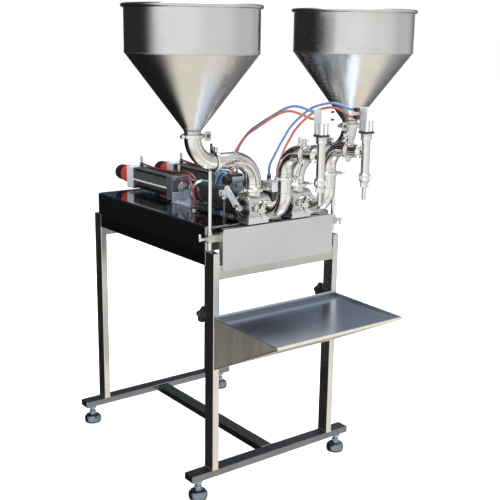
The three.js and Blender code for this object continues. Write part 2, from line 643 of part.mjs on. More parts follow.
// The square air cylinder that lifts the plunger. hosesLeft puts its hose fittings on the left;
// otherwise they are at the back, and two long plugs close the spare ports on the right.
function nozzleCylinder(x, hosesLeft) {
  const centre = [x, NOZZLE_Y, 0];
  const body = block(around(x, ACTUATOR_HALF), around(NOZZLE_Y, ACTUATOR_HALF),
    [ACTUATOR_BOTTOM_Z, ACTUATOR_TOP_Z]);
  const gland = rod('z', centre, NOZZLE_COLLAR_R, NOZZLE_TOP_Z, ACTUATOR_BOTTOM_Z + 1);
  const fittings = [];
  for (const z of ACTUATOR_PORTS_Z) {
    if (hosesLeft) {
      const faceX = x - ACTUATOR_HALF;
      fittings.push(rod('x', [0, -700, z], 5.5, faceX - 8, faceX + 1, SMALL_SIDES));
      fittings.push(block([faceX - 18.5, faceX - 6.5], [-707, -688], around(z, 6)));
    } else {
      const faceY = NOZZLE_Y + ACTUATOR_HALF;
      fittings.push(rod('y', [x, 0, z], 6, faceY - 1, faceY + 15, SMALL_SIDES));
      const faceX = x + ACTUATOR_HALF;
      fittings.push(rod('x', [0, NOZZLE_Y - 6, z], 3.5, faceX - 1, faceX + 22, SMALL_SIDES));
    }
  }
  const cavity = rod('z', centre, 15, 1278, 1341);
  const rodHole = rod('z', centre, 4.6, NOZZLE_TOP_Z - 1, 1280);
  return join(body, gland, ...fittings).subtract(cavity).subtract(rodHole);
}

// ---------- compressed air ----------
function airManifold() {
  const body = block([-28, 14], [-398, -344], [BOX_TOP_Z, 1080]);
  const blueFitting = rod('z', [-8, -356, 0], 6.5, 1079, 1104, SMALL_SIDES);
  const redFitting = rod('z', [4, -385, 0], 6.5, 1079, 1098, SMALL_SIDES);
  return join(body, blueFitting, redFitting);
}

function airRegulator() {
  const centre = [0, -200, 1066];
  const bracket = block([-34, -12], around(-200, 12), [BOX_TOP_Z, 1052]);
  const profile = [
    [0, -85], [15, -85], [17, -82], [17, -64], [13, -63], [13, -60], [17, -59], [17, -8], [0, -8],
  ];
  const bowl = turned('x', centre, profile);
  const plateOnTop = block([-64, -12], around(-200, 13), [1072, 1086]);
  const outlets = [-46, -30].map((x) => rod('z', [x, -200, 0], 6, 1085, 1092, SMALL_SIDES));
  const inlets = SUPPLY_EXITS.map(([x]) =>
    rod('y', [x + 14, 0, 1066], 6.5, -188, -172, SMALL_SIDES));
  return join(bracket, bowl, plateOnTop, ...outlets, ...inlets);
}

// Hose routes from the nozzle cylinders to the regulator (left pair) and the manifold (right pair).
const NOZZLE_HOSES = {
  hose_blue_l: [
    [-93.5, -680, 1344], [-93.5, -662, 1344], [-93.5, -620, 1351], [-92, -580, 1352],
    [-91, -540, 1343], [-88, -490, 1323], [-85, -440, 1301], [-82, -390, 1278], [-79, -341, 1253],
    [-68, -285, 1215], [-56, -240, 1175], [-40, -209, 1140], [-30, -200, 1110], [-30, -200, 1092.5],
  ],
  hose_red_l: [
    [-93.5, -680, 1321], [-93.5, -662, 1321], [-98, -620, 1331], [-103, -580, 1337],
    [-103, -540, 1331], [-101, -490, 1312], [-98, -440, 1289], [-95, -390, 1265], [-92, -341, 1240],
    [-82, -285, 1201], [-71, -240, 1162], [-55, -209, 1132], [-46, -200, 1108], [-46, -200, 1092.5],
  ],
  hose_blue_r: [
    [62.5, -687.5, 1344], [62.5, -670, 1344], [58.5, -635, 1353], [50, -602, 1358], [45, -560, 1351],
    [40, -513, 1336], [34, -462, 1303], [28, -418, 1264], [21, -399, 1232], [13, -384, 1203],
    [3, -368, 1165], [-6, -358, 1137], [-8, -356, 1118], [-8, -356, 1104.5],
  ],
  hose_red_r: [
    [62.5, -687.5, 1321], [62.5, -670, 1321], [62, -635, 1335], [59, -600, 1343], [56, -560, 1339],
    [51, -513, 1323], [46, -466, 1291], [40, -428, 1254], [32, -411, 1222], [24, -400, 1196],
    [14, -391, 1160], [6, -386, 1132], [4, -385, 1114], [4, -385, 1098.5],
  ],
};

// Hoses of one air cylinder: the front port's goes down beside the metering cylinder, and the rear
// port's runs forward over the barrel and down between the cylinders. Places along X are from the
// unit's axis.
const PORT_HOSES = {
  front_port_hose: [
    [-20, 43.5, 1036], [-20, 30, 1036], [-23, 10, 1042], [-29, -15, 1050], [-37, -42, 1053],
    [-46, -70, 1045], [-52, -92, 1025], [-54, -105, 1000], [-54, -110, 985], [-54, -110, 968.5],
  ],
  rear_port_hose: [
    [0, 334.5, 1056], [0, 318, 1056], [4, 290, 1052], [8, 250, 1049.5], [12, 200, 1049.5],
    [16, 150, 1050.5], [20, 115, 1054], [24, 80, 1058], [27, 50, 1057], [29, 22, 1046],
    [30, 3, 1025], [30, -7, 1000], [30, -8, 984], [30, -8, 968.5],
  ],
};

// The supply and return hoses between the housing and the regulator.
const SUPPLY_HOSES = {
  supply_hose_a: [
    [-30, -95, 968.5], [-30, -95, 985], [-30, -95, 1010], [-29, -97, 1034], [-27, -106, 1056],
    [-23, -123, 1069], [-19, -142, 1069], [-16, -156, 1066.5], [-16, -171.5, 1066],
  ],
  supply_hose_b: [
    [-42, -95, 968.5], [-42, -95, 985], [-43, -94, 1015], [-44, -95, 1044], [-42, -104, 1068],
    [-37, -122, 1081], [-32, -141, 1077], [-28, -156, 1067.5], [-28, -171.5, 1066],
  ],
};

// ---------- tray ----------
// A folded sheet wedge, open at the back, with a shallow recess on top for drips.
function tray() {
  const alongX = (sideView, [x0, x1]) => {
    const outline = new THREE.Shape(sideView.map(([y, z]) => new THREE.Vector2(y, z)));
    const geometry = plate(outline, x1 - x0);
    geometry.rotateX(Math.PI / 2);
    geometry.rotateZ(Math.PI / 2);
    geometry.translate(x0, 0, 0);
    return solidOf(geometry);
  };
  const full = around(0, TRAY_HALF_X);
  const within = around(0, TRAY_HALF_X - TRAY_SHEET);
  const wedge = alongX([
    [TRAY_REAR_Y, 467], [TRAY_REAR_Y, 658], [TRAY_REAR_Y - TRAY_SHEET, 658],
    [TRAY_REAR_Y - TRAY_SHEET, 648], [TRAY_FRONT_Y, 643], [TRAY_FRONT_Y, 635],
  ], full);
  const recessY = [TRAY_FRONT_Y + TRAY_SHEET, TRAY_REAR_Y - TRAY_SHEET];
  const recess = block(within, recessY, [TRAY_FLOOR_Z, 670]);
  const hollowTopZ = TRAY_FLOOR_Z - TRAY_SHEET;
  const hollow = alongX([
    [TRAY_REAR_Y - TRAY_SHEET, 474], [TRAY_REAR_Y - TRAY_SHEET, hollowTopZ], [-731, hollowTopZ],
  ], within);
  const backOpening = block(around(0, 225), [TRAY_REAR_Y - 5, TRAY_REAR_Y + 1], [500, 615]);
  let whole = wedge.subtract(recess).subtract(hollow).subtract(backOpening);
  for (const side of [-1, 1]) {
    const x = side * KNOB_X;
    whole = whole.subtract(block(around(x, 5.5), [TRAY_REAR_Y - 4, TRAY_REAR_Y + 1], [516, 648]));
  }
  return whole;
}

// A five-lobed clamping knob behind the front leg, on a bolt that goes through to the tray.
function starKnob(side) {
  const backY = -STAND_HALF_Y + TUBE_WIDE;
  const lobes = 5;
  const points = [];
  const count = 25;
  for (let i = 0; i < count; i += 1) {
    const angle = (i / count) * 2 * Math.PI;
    const radius = 25.5 + 3.5 * Math.cos(lobes * angle);
    points.push(new THREE.Vector2(radius * Math.cos(angle), radius * Math.sin(angle)));
  }
  const head = plate(new THREE.Shape(points), 20);
  head.rotateX(Math.PI / 2);
  head.translate(side * KNOB_X, backY + 34, KNOB_Z);
  const centre = [side * KNOB_X, 0, KNOB_Z];
  const hub = rod('y', centre, 12, backY, backY + 16, SMALL_SIDES);
  const bolt = rod('y', centre, 4.2, -STAND_HALF_Y - TRAY_SHEET, backY + 1, SMALL_SIDES);
  return join(solidOf(head), hub, bolt);
}

// ---------- assembly ----------
const filler = new THREE.Group();
filler.position.y = ORIGIN_SHIFT_Y;

function addPart(name, solid, finish) {
  const mesh = new THREE.Mesh(geometryOf(solid), new THREE.MeshStandardMaterial(finish));
  mesh.name = name;
  filler.add(mesh);
}

const SIDES = { l: -1, r: 1 };
const ENDS = { front: -1, rear: 1 };

addPart('stand', stand(), BRUSHED_STEEL);
for (const [end, sideY] of Object.entries(ENDS)) {
  for (const [hand, sideX] of Object.entries(SIDES)) {
    addPart(`foot_${end}_${hand}`, foot(sideX, sideY), FOOT_GREY);
  }
}
addPart('machine_box', machineBox(), POLISHED_STEEL);
addPart('front_panel', frontPanel(), BRUSHED_STEEL);
addPart('cross_bar', crossBar(), BRUSHED_STEEL);
addPart('cylinder_carrier', cylinderCarrier(), BRUSHED_STEEL);
addPart('air_manifold', airManifold(), ALUMINIUM);
addPart('air_regulator', airRegulator(), ALUMINIUM);
addPart('tray', tray(), BRUSHED_STEEL);

for (const [hand, side] of Object.entries(SIDES)) {
  const unitX = side * UNIT_X;
  addPart(`post_${hand}`, post(side), POLISHED_STEEL);
  addPart(`post_screw_${hand}`, postScrew(side), POLISHED_STEEL);
  addPart(`hopper_${hand}`, hopper(side), POLISHED_STEEL);
  addPart(`hopper_clamp_${hand}`, ringClamp(side * HOPPER_X, HOPPER_JOINT_Z, -side, 15), POLISHED_STEEL);
  addPart(`feed_pipe_${hand}`, feedPipe(side), POLISHED_STEEL);
  addPart(`inlet_clamp_${hand}`, ringClamp(unitX, INLET_JOINT_Z, 1, 5), POLISHED_STEEL);
  addPart(`valve_body_${hand}`, valveBody(unitX), POLISHED_STEEL);
  addPart(`valve_rotor_${hand}`, valveRotor(unitX), DARK_STEEL);
  addPart(`push_rod_${hand}`, pushRod(unitX), BRUSHED_STEEL);
  addPart(`metering_cylinder_${hand}`, meteringCylinder(unitX), POLISHED_STEEL);
  addPart(`piston_${hand}`, piston(unitX), POLISHED_STEEL);
  addPart(`air_cylinder_${hand}`, airCylinder(unitX), ALUMINIUM);
  addPart(`stroke_knob_${hand}`, strokeKnob(unitX), BLACK_PLASTIC);
  addPart(`outlet_pipe_${hand}`, outletPipe(unitX), POLISHED_STEEL);
  addPart(`nozzle_body_${hand}`, nozzleBody(unitX), POLISHED_STEEL);
  addPart(`nozzle_plunger_${hand}`, nozzlePlunger(unitX), POLISHED_STEEL);
  addPart(`nozzle_cylinder_${hand}`, nozzleCylinder(unitX, side > 0), ALUMINIUM);
  addPart(`star_knob_${hand}`, starKnob(side), BLACK_PLASTIC);
}

for (const [name, route] of Object.entries(NOZZLE_HOSES)) {
  addPart(name, hose(route), name.includes('blue') ? BLUE_HOSE : RED_HOSE);
}
for (const [hand, side] of Object.entries(SIDES)) {
  for (const [name, route] of Object.entries(PORT_HOSES)) {
    const placed = route.map(([x, y, z]) => [side * UNIT_X + x, y, z]);
    addPart(`${name}_${hand}`, hose(placed), RED_HOSE);
  }
}
for (const [name, route] of Object.entries(SUPPLY_HOSES)) {
  addPart(name, hose(route), BLUE_HOSE);
}

export default filler;
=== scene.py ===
"""Looks of the two-head piston filler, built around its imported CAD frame.

Shapes are written in millimetres of the stand, whose middle lies 100 mm in front of the
row frame's origin, and are brought into the row frame in metres when a piece is made.
"""
import math

import bmesh
import bpy
from mathutils import Matrix, Vector


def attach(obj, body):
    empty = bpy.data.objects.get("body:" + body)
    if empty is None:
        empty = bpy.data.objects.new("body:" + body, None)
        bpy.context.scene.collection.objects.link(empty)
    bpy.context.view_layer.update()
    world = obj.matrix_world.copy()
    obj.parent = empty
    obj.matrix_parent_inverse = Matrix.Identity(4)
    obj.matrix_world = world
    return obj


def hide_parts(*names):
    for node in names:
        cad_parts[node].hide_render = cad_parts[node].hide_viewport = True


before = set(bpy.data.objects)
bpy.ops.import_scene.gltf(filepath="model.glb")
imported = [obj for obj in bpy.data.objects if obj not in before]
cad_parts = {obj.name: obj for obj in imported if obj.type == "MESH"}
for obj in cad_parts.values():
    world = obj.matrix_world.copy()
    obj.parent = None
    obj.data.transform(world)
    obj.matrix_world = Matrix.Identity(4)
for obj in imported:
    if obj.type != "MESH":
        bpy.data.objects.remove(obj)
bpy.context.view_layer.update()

TO_ROW = Matrix.Translation((0, 0.1, 0)) @ Matrix.Scale(0.001, 4)
SIDES = {"l": -1, "r": 1}

# Dimensions of the frame that several pieces share, in millimetres.
UNIT_X = 93.5
FEED_Y = -380.0
AXIS_Z = 1004.0
VALVE_Y = -385.0
HOPPER_X = 337.0
POST_X = 270.0
NOZZLE_Y = -714.0
LEVER_OFFSET = 66.5
LEVER_LENGTH = 84
LEVER_REST = math.radians(42)
PUSH_ROD_Y = -307
KNOB_X = 262.5
KNOB_Z = 642
BOX_TOP = 950.0

# ---------- camera ----------
CAMERA_AT = (-1.9113, -2.6502, 1.5836)
CAMERA_AZIMUTH = math.radians(-37.34)
CAMERA_ELEVATION = math.radians(13.76)
CAMERA_ROLL = math.radians(0.862)
CAMERA_LENS = 65.07


def make_camera():
    data = bpy.data.cameras.new("camera")
    data.lens = CAMERA_LENS
    data.sensor_width = 36
    camera = bpy.data.objects.new("camera", data)
    bpy.context.scene.collection.objects.link(camera)
    sin_a, cos_a = math.sin(CAMERA_AZIMUTH), math.cos(CAMERA_AZIMUTH)
    sin_e, cos_e = math.sin(CAMERA_ELEVATION), math.cos(CAMERA_ELEVATION)
    back = Vector((sin_a * cos_e, -cos_a * cos_e, sin_e))
    right = Vector((cos_a, sin_a, 0))
    up = back.cross(right)
    turned_right = right * math.cos(CAMERA_ROLL) + up * math.sin(CAMERA_ROLL)
    turned_up = up * math.cos(CAMERA_ROLL) - right * math.sin(CAMERA_ROLL)
    turn = Matrix((turned_right, turned_up, back)).transposed()
    camera.matrix_world = Matrix.Translation(CAMERA_AT) @ turn.to_4x4()
    bpy.context.scene.camera = camera


make_camera()


# ---------- materials ----------
def feed(tree, socket, value):
    if isinstance(value, bpy.types.NodeSocket):
        tree.links.new(value, socket)
    else:
        socket.default_value = value


def add_node(tree, kind, inputs=(), **settings):
    made = tree.nodes.new(kind)
    for key, value in settings.items():
        setattr(made, key, value)
    for key, value in dict(inputs).items():
        feed(tree, made.inputs[key], value)
    return made


class Graph:
    """A material and its node tree, with short calls to add nodes."""

    def __init__(self, name):
        self.material = bpy.data.materials.new(name)
        self.material.use_nodes = True
        self.tree = self.material.node_tree
        self.shader = self.tree.nodes["Principled BSDF"]
        self.place = self.node("ShaderNodeTexCoord").outputs["Object"]

    def node(self, kind, inputs=(), **settings):
        return add_node(self.tree, kind, inputs, **settings)

    def put(self, socket, value):
        feed(self.tree, socket, value)

    def noise(self, scale, detail=4.0, stretch=(1, 1, 1)):
        moved = self.node("ShaderNodeMapping", {"Vector": self.place, "Scale": stretch})
        texture = self.node("ShaderNodeTexNoise", {
            "Vector": moved.outputs["Vector"], "Scale": scale, "Detail": detail, "Roughness": 0.6,
        })
        return texture.outputs["Fac"]

    def span(self, value, low, high, start=0.3, end=0.7):
        ranged = self.node("ShaderNodeMapRange", {
            "Value": value, "From Min": start, "From Max": end, "To Min": low, "To Max": high,
        })
        return ranged.outputs["Result"]

    def sum(self, first, second, operation="ADD"):
        return self.node("ShaderNodeMath", {0: first, 1: second}, operation=operation).outputs[0]

    def mix(self, factor, first, second):
        mixed = self.node("ShaderNodeMix", {"Factor": factor}, data_type="RGBA")
        self.put(mixed.inputs[6], first)
        self.put(mixed.inputs[7], second)
        return mixed.outputs[2]

    def bump(self, height, strength, distance):
        bumped = self.node("ShaderNodeBump", {
            "Height": height, "Strength": strength, "Distance": distance,
        })
        return bumped.outputs["Normal"]

    def edges(self):
        """Where vertices stick out. On a plain box every vertex does, so there it is the whole face."""
        pointed = self.node("ShaderNodeNewGeometry").outputs["Pointiness"]
        return self.span(pointed, 0.0, 1.0, 0.51, 0.58)


def shade(colour, factor):
    return tuple(c * factor for c in colour) + (1.0,)


def metal(name, colour, roughness, grain, depth=0.06, tarnish=0.8, spread=0.05, edge=1.15, streak=0.12):
    """Bare metal. grain is how finely the brushing runs along x, y and z, in lines per metre."""
    g = Graph(name)
    lines = g.noise(1.0, 3.0, grain)
    clouds = g.noise(5.0, 6.0)
    spots = g.noise(60.0, 3.0)
    worn = g.mix(g.span(clouds, 0.0, 1.0), shade(colour, 1.0), shade(colour, tarnish))
    lined = g.mix(g.span(lines, 0.0, streak), worn, shade(colour, 0.55))
    # Lightens the colour by edge where vertices stick out, which on plain boxes is the whole face. Small
    # edge values are rubbed edge wear; the large ones given for the base bars are a painted highlight.
    worn_edges_and_highlight = g.mix(g.edges(), lined, shade(colour, edge))
    g.put(g.shader.inputs["Base Color"], worn_edges_and_highlight)
    g.shader.inputs["Metallic"].default_value = 1.0
    rough = g.sum(g.span(clouds, roughness - spread * 0.4, roughness + spread),
                  g.span(lines, -spread * 0.5, spread * 0.5))
    g.put(g.shader.inputs["Roughness"], g.sum(rough, g.span(spots, 0.0, spread * 0.4)))
    g.put(g.shader.inputs["Normal"], g.bump(lines, depth, 0.0002))
    return g.material


def coated(name, colour, roughness, metallic=0.0, grit=0.1, coat=0.0, worn=(0.3, 0.3, 0.3)):
    """Paint, anodising or moulded plastic, with rubbed edges and a fine texture."""
    g = Graph(name)
    clouds = g.noise(18.0, 5.0)
    fine = g.noise(900.0, 2.0)
    base = g.mix(g.span(clouds, 0.0, 1.0), shade(colour, 1.0), shade(colour, 0.82))
    g.put(g.shader.inputs["Base Color"], g.mix(g.sum(g.edges(), 0.35, "MULTIPLY"), base, worn + (1.0,)))
    g.shader.inputs["Metallic"].default_value = metallic
    g.shader.inputs["Coat Weight"].default_value = coat
    g.put(g.shader.inputs["Roughness"], g.span(clouds, roughness - 0.04, roughness + 0.06))
    g.put(g.shader.inputs["Normal"], g.bump(fine, grit, 0.0002))
    return g.material


def hose_plastic(name, colour):
    g = Graph(name)
    clouds = g.noise(25.0, 3.0)
    g.put(g.shader.inputs["Base Color"],
          g.mix(g.span(clouds, 0.0, 1.0), shade(colour, 1.05), shade(colour, 0.85)))
    g.put(g.shader.inputs["Roughness"], g.span(clouds, 0.22, 0.34))
    g.shader.inputs["Coat Weight"].default_value = 0.3
    g.shader.inputs["Subsurface Weight"].default_value = 0.12
    g.shader.inputs["Subsurface Radius"].default_value = (0.004, 0.004, 0.004)
    g.put(g.shader.inputs["Normal"], g.bump(g.noise(400.0, 2.0), 0.04, 0.0002))
    return g.material


FINE, LONG = 700.0, 5.0
MATERIALS = {
    # The stand is one polished stainless tube throughout, so tube_x, rail_y, base_x, base_y and tube_z are
    # lit and shaded copies of one colour, besides the run of their brushing. The side rails and base bars
    # are darkened as painted shade, the legs and upper cross tubes are lightened as painted light, and the
    # base bars' large edge factors are a painted highlight.
    "tube_x": metal("tube_x", (0.50, 0.49, 0.46), 0.27, (LONG, FINE, FINE)),
    "rail_y": metal("rail_y", (0.16, 0.16, 0.155), 0.2, (FINE, LONG, FINE)),
    "base_x": metal("base_x", (0.11, 0.11, 0.115), 0.28, (LONG, FINE, FINE), 0.1, 0.6, 0.05, 2.6),
    "base_y": metal("base_y", (0.15, 0.145, 0.125), 0.3, (FINE, LONG, FINE), 0.1, 0.6, 0.05, 2.0),
    "tube_z": metal("tube_z", (0.62, 0.60, 0.57), 0.25, (FINE, FINE, LONG)),
    "mirror": metal("mirror", (0.34, 0.345, 0.35), 0.07, (FINE, LONG, FINE), 0.02, 0.85, 0.04),
    "panel": metal("panel", (0.62, 0.615, 0.61), 0.38, (LONG, FINE, FINE), 0.06, 0.93, 0.05, 1.1, 0.07),
    "polish": metal("polish", (0.80, 0.78, 0.735), 0.10, (60.0, 60.0, 60.0), 0.03, 0.85, 0.06),
    "polish_y": metal("polish_y", (0.78, 0.78, 0.77), 0.13, (LONG, FINE, LONG), 0.05, 0.85, 0.05),
    "hopper": metal("hopper", (0.66, 0.655, 0.64), 0.21, (LONG, LONG, FINE), 0.025, 0.86, 0.05, 1.1, 0.07),
    "weld": metal("weld", (0.62, 0.60, 0.57), 0.3, (250.0, 250.0, 250.0), 0.5, 0.7, 0.08),
    "machined": metal("machined", (0.66, 0.67, 0.68), 0.3, (FINE, 40.0, FINE), 0.1, 0.85),
    "dark_steel": metal("dark_steel", (0.16, 0.165, 0.17), 0.22, (FINE, FINE, FINE), 0.1, 0.8),
    # The tray is one stainless sheet, so these are lit and shaded copies of one colour. The bluish top is a
    # painted reflection, the warm beige cheeks and underside are painted warm light, and the darker bluish
    # rim and upstands are painted shade.
    "tray_top": metal("tray_top", (0.72, 0.80, 0.91), 0.24, (LONG, FINE, FINE), 0.03, 0.92, 0.03,
                      1.05, 0.06),
    "tray_rim": metal("tray_rim", (0.36, 0.40, 0.46), 0.3, (LONG, FINE, FINE), 0.05, 0.8),
    "tray_under": metal("tray_under", (0.80, 0.75, 0.66), 0.42, (LONG, FINE, FINE), 0.05, 0.85, 0.06),
    "tray_side": metal("tray_side", (0.86, 0.81, 0.70), 0.52, (FINE, 40.0, LONG), 0.06, 0.7, 0.08),
    "aluminium": coated("aluminium", (0.66, 0.69, 0.73), 0.34, 0.5, 0.08, 0.0, (0.85, 0.86, 0.88)),
    "barrel": coated("barrel", (0.10, 0.115, 0.105), 0.3, 0.6, 0.05, 0.0, (0.3, 0.32, 0.3)),
    "cap_light": coated("cap_light", (0.62, 0.64, 0.67), 0.42, 0.35, 0.12, 0.0, (0.8, 0.8, 0.8)),
    "cap_dark": coated("cap_dark", (0.05, 0.062, 0.075), 0.45, 0.5, 0.12, 0.0, (0.3, 0.33, 0.36)),
    "anodised": coated("anodised", (0.36, 0.42, 0.50), 0.38, 0.5, 0.12, 0.0, (0.6, 0.64, 0.7)),
    "valve": metal("valve", (0.74, 0.73, 0.70), 0.24, (FINE, 30.0, 30.0), 0.08, 0.85, 0.06),
    "brass": metal("brass", (0.72, 0.56, 0.28), 0.25, (90.0, 90.0, 90.0), 0.06, 0.85),
    "foot": metal("foot", (0.26, 0.32, 0.39), 0.24, (90.0, 90.0, 90.0), 0.06, 0.8),
    "black": coated("black", (0.012, 0.012, 0.013), 0.24, 0.0, 0.06, 0.2, (0.06, 0.06, 0.06)),
    "rubber": coated("rubber", (0.02, 0.02, 0.02), 0.6, 0.0, 0.3, 0.0, (0.05, 0.05, 0.05)),
    "red": coated("red", (0.36, 0.03, 0.02), 0.28, 0.0, 0.05, 0.3, (0.45, 0.12, 0.1)),
    "blue": coated("blue", (0.03, 0.16, 0.45), 0.3, 0.0, 0.05, 0.2, (0.2, 0.35, 0.6)),
    "blue_hose": hose_plastic("blue_hose", (0.11, 0.20, 0.40)),
    "red_hose": hose_plastic("red_hose", (0.42, 0.12, 0.10)),
    "dark_red_hose": hose_plastic("dark_red_hose", (0.19, 0.025, 0.028)),
}

# ---------- shapes: each is a closed bmesh in millimetres ----------
AXES = {
    "back": Matrix(((0, -1, 0), (0, 0, -1), (1, 0, 0))),
    "x": Matrix(((0, 0, 1), (1, 0, 0), (0, 1, 0))),
    "y": Matrix(((0, 1, 0), (0, 0, 1), (1, 0, 0))),
    "z": Matrix.Identity(3),
}


def put(shape, axis="z", at=(0, 0, 0), turn=0.0):
    """Turns a shape about its own z axis, lays that axis along x, y or z, and moves it."""
    spin = Matrix.Rotation(math.radians(turn), 4, "Z")
    shape.transform(Matrix.Translation(at) @ AXES[axis].to_4x4() @ spin)
    return shape


def span(a, b):
    return (min(a, b), max(a, b))


def about(middle, half):
    return (middle - half, middle + half)


def cuboid(x, y, z, bevel=1.0, segments=2):
    shape = bmesh.new()
    bmesh.ops.create_cube(shape, size=1)
    sizes = Vector((x[1] - x[0], y[1] - y[0], z[1] - z[0]))
    middle = Vector((sum(x), sum(y), sum(z))) / 2
    shape.transform(Matrix.Translation(middle) @ Matrix.Diagonal(sizes).to_4x4())
    if bevel:
        bmesh.ops.bevel(shape, geom=shape.edges[:], offset=bevel, segments=segments,
                        profile=0.5, affect="EDGES", clamp_overlap=True)
    return shape


def loft(rings, loop=False):
    """Skin over rings of points. A loop joins the last ring to the first, as in a torus."""
    shape = bmesh.new()
    rows = [[shape.verts.new(point) for point in ring] for ring in rings]
    pairs = list(zip(rows, rows[1:]))
    if loop:
        pairs.append((rows[-1], rows[0]))
    count = len(rows[0])
    for low, high in pairs:
        for i in range(count):
            j = (i + 1) % count
            shape.faces.new((low[i], low[j], high[j], high[i]))
    if not loop:
        shape.faces.new(rows[0][::-1])
        shape.faces.new(rows[-1])
    bmesh.ops.recalc_face_normals(shape, faces=shape.faces[:])
    return shape


def soften(points, amount, loop=False):
    """The outline with each of its corners rounded."""
    result = []
    last = len(points) - 1
    for i, point in enumerate(points):
        if not loop and i in (0, last):
            result.append(point)
            continue
        before, after = points[i - 1], points[(i + 1) % len(points)]
        to_before, to_after = before - point, after - point
        cut = min(amount, to_before.length * 0.45, to_after.length * 0.45)
        start = point + to_before.normalized() * cut
        end = point + to_after.normalized() * cut
        for t in (0.0, 0.33, 0.67, 1.0):
            result.append(start * (1 - t) ** 2 + point * 2 * t * (1 - t) + end * t ** 2)
    return result


def lathe(profile, sides=48, rounding=0.8, flutes=0, flute_depth=0.0):
    """A turned shape round z from [radius, height] pairs. Repeating the first pair makes a ring."""
    points = [Vector(p) for p in profile]
    loop = points[0] == points[-1]
    if loop:
        points.pop()
    if rounding:
        points = soften(points, rounding, loop)
    if not loop:
        points = [p for p in points if p.x > 1e-6]
    rings = []
    for p in points:
        ring = []
        for i in range(sides):
            angle = 2 * math.pi * i / sides
            radius = p.x * (1 - flute_depth * (0.5 + 0.5 * math.cos(flutes * angle)))
            ring.append((radius * math.cos(angle), radius * math.sin(angle), p.y))
        rings.append(ring)
    return loft(rings, loop)


def rod(radius, start, end, sides=32, rounding=0.8):
    return lathe([(0, start), (radius, start), (radius, end), (0, end)], sides, rounding)


def ring(inner, outer, start, end, sides=48, rounding=0.8):
    return lathe([(inner, start), (outer, start), (outer, end), (inner, end), (inner, start)],
                 sides, rounding)


def prism(outline, start, end, bevel=0.6):
    """An outline of (x, y) pairs raised along z, with small bevels all round."""
    shape = bmesh.new()
    base = shape.faces.new([shape.verts.new((x, y, start)) for x, y in outline])
    raised = bmesh.ops.extrude_face_region(shape, geom=[base])
    moved = [v for v in raised["geom"] if isinstance(v, bmesh.types.BMVert)]
    bmesh.ops.translate(shape, verts=moved, vec=(0, 0, end - start))
    bmesh.ops.recalc_face_normals(shape, faces=shape.faces[:])
    if bevel:
        rims = [e for e in shape.edges if abs(e.verts[0].co.z - e.verts[1].co.z) < 1e-6]
        bmesh.ops.bevel(shape, geom=rims, offset=bevel, segments=2, profile=0.5,
                        affect="EDGES", clamp_overlap=True)
    return shape


def rounded(x, y, radius, steps=6):
    """Outline of a rectangle with round corners."""
    corners = [(x[1] - radius, y[0] + radius, -90), (x[1] - radius, y[1] - radius, 0),
               (x[0] + radius, y[1] - radius, 90), (x[0] + radius, y[0] + radius, 180)]
    outline = []
    for cx, cy, start in corners:
        for i in range(steps + 1):
            angle = math.radians(start + 90 * i / steps)
            outline.append((cx + radius * math.cos(angle), cy + radius * math.sin(angle)))
    return outline


def hexagon(across):
    radius = across / math.sqrt(3)
    return [(radius * math.cos(math.radians(a)), radius * math.sin(math.radians(a)))
            for a in range(0, 360, 60)]


def sweep(points, radius, sides=32):
    """A round tube along a line of points."""
    points = [Vector(p) for p in points]
    side = None
    rings = []
    for i, point in enumerate(points):
        ahead = points[min(i + 1, len(points) - 1)] - points[max(i - 1, 0)]
        ahead.normalize()
        if side is None:
            side = ahead.orthogonal().normalized()
        side = (side - ahead * side.dot(ahead)).normalized()
        other = ahead.cross(side)
        turns = [2 * math.pi * k / sides for k in range(sides)]
        rings.append([point + (side * math.cos(a) + other * math.sin(a)) * radius for a in turns])
    return loft(rings)


def bent(corners, radius, steps=12):
    """Points of a pipe that turns a right angle at each inner corner."""
    corners = [Vector(c) for c in corners]
    points = [corners[0]]
    for before, corner, after in zip(corners, corners[1:], corners[2:]):
        entry = (corner - before).normalized()
        leave = (after - corner).normalized()
        centre = corner - entry * radius + leave * radius
        for i in range(steps + 1):
            angle = math.pi / 2 * i / steps
            points.append(centre - leave * radius * math.cos(angle) + entry * radius * math.sin(angle))
    return points + [corners[-1]]


def smooth_line(points, steps=5):
    """A smooth curve through all the points, evenly stepped between each two."""
    points = [Vector(p) for p in points]
    result = []
    for i in range(len(points) - 1):
        p1, p2 = points[i], points[i + 1]
        length = (p2 - p1).length
        tangents = []
        for k in (i, i + 1):
            a, b = points[max(k - 1, 0)], points[min(k + 1, len(points) - 1)]
            tangents.append((b - a).normalized() * length)
        for s in range(steps):
            t = s / steps
            result.append(p1 * (2 * t ** 3 - 3 * t ** 2 + 1) + tangents[0] * (t ** 3 - 2 * t ** 2 + t)
                          + p2 * (3 * t ** 2 - 2 * t ** 3) + tangents[1] * (t ** 3 - t ** 2))
    return result + [points[-1]]


# ---------- from shapes to a piece ----------
SHARP = math.radians(38)


def piece(node, parts, body="frame"):
    """One object from (material, shape) pairs, standing for a CAD node and riding on its body."""
    whole = bmesh.new()
    names = []
    for name, shape in parts:
        if name not in names:
            names.append(name)
        for face in shape.faces:
            face.material_index = names.index(name)
        part = bpy.data.meshes.new("part")
        shape.to_mesh(part)
        shape.free()
        whole.from_mesh(part)
        bpy.data.meshes.remove(part)
    whole.transform(TO_ROW)
    for face in whole.faces:
        face.smooth = True
    for edge in whole.edges:
        if len(edge.link_faces) == 2 and edge.calc_face_angle() > SHARP:
            edge.smooth = False
    mesh = bpy.data.meshes.new(node + "_look")
    whole.to_mesh(mesh)
    whole.free()
    for name in names:
        mesh.materials.append(MATERIALS[name])
    made = bpy.data.objects.new(node + "_look", mesh)
    bpy.context.scene.collection.objects.link(made)
    weighted = made.modifiers.new("normals", "WEIGHTED_NORMAL")
    weighted.keep_sharp = True
    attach(made, body)
    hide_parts(node)
    return made


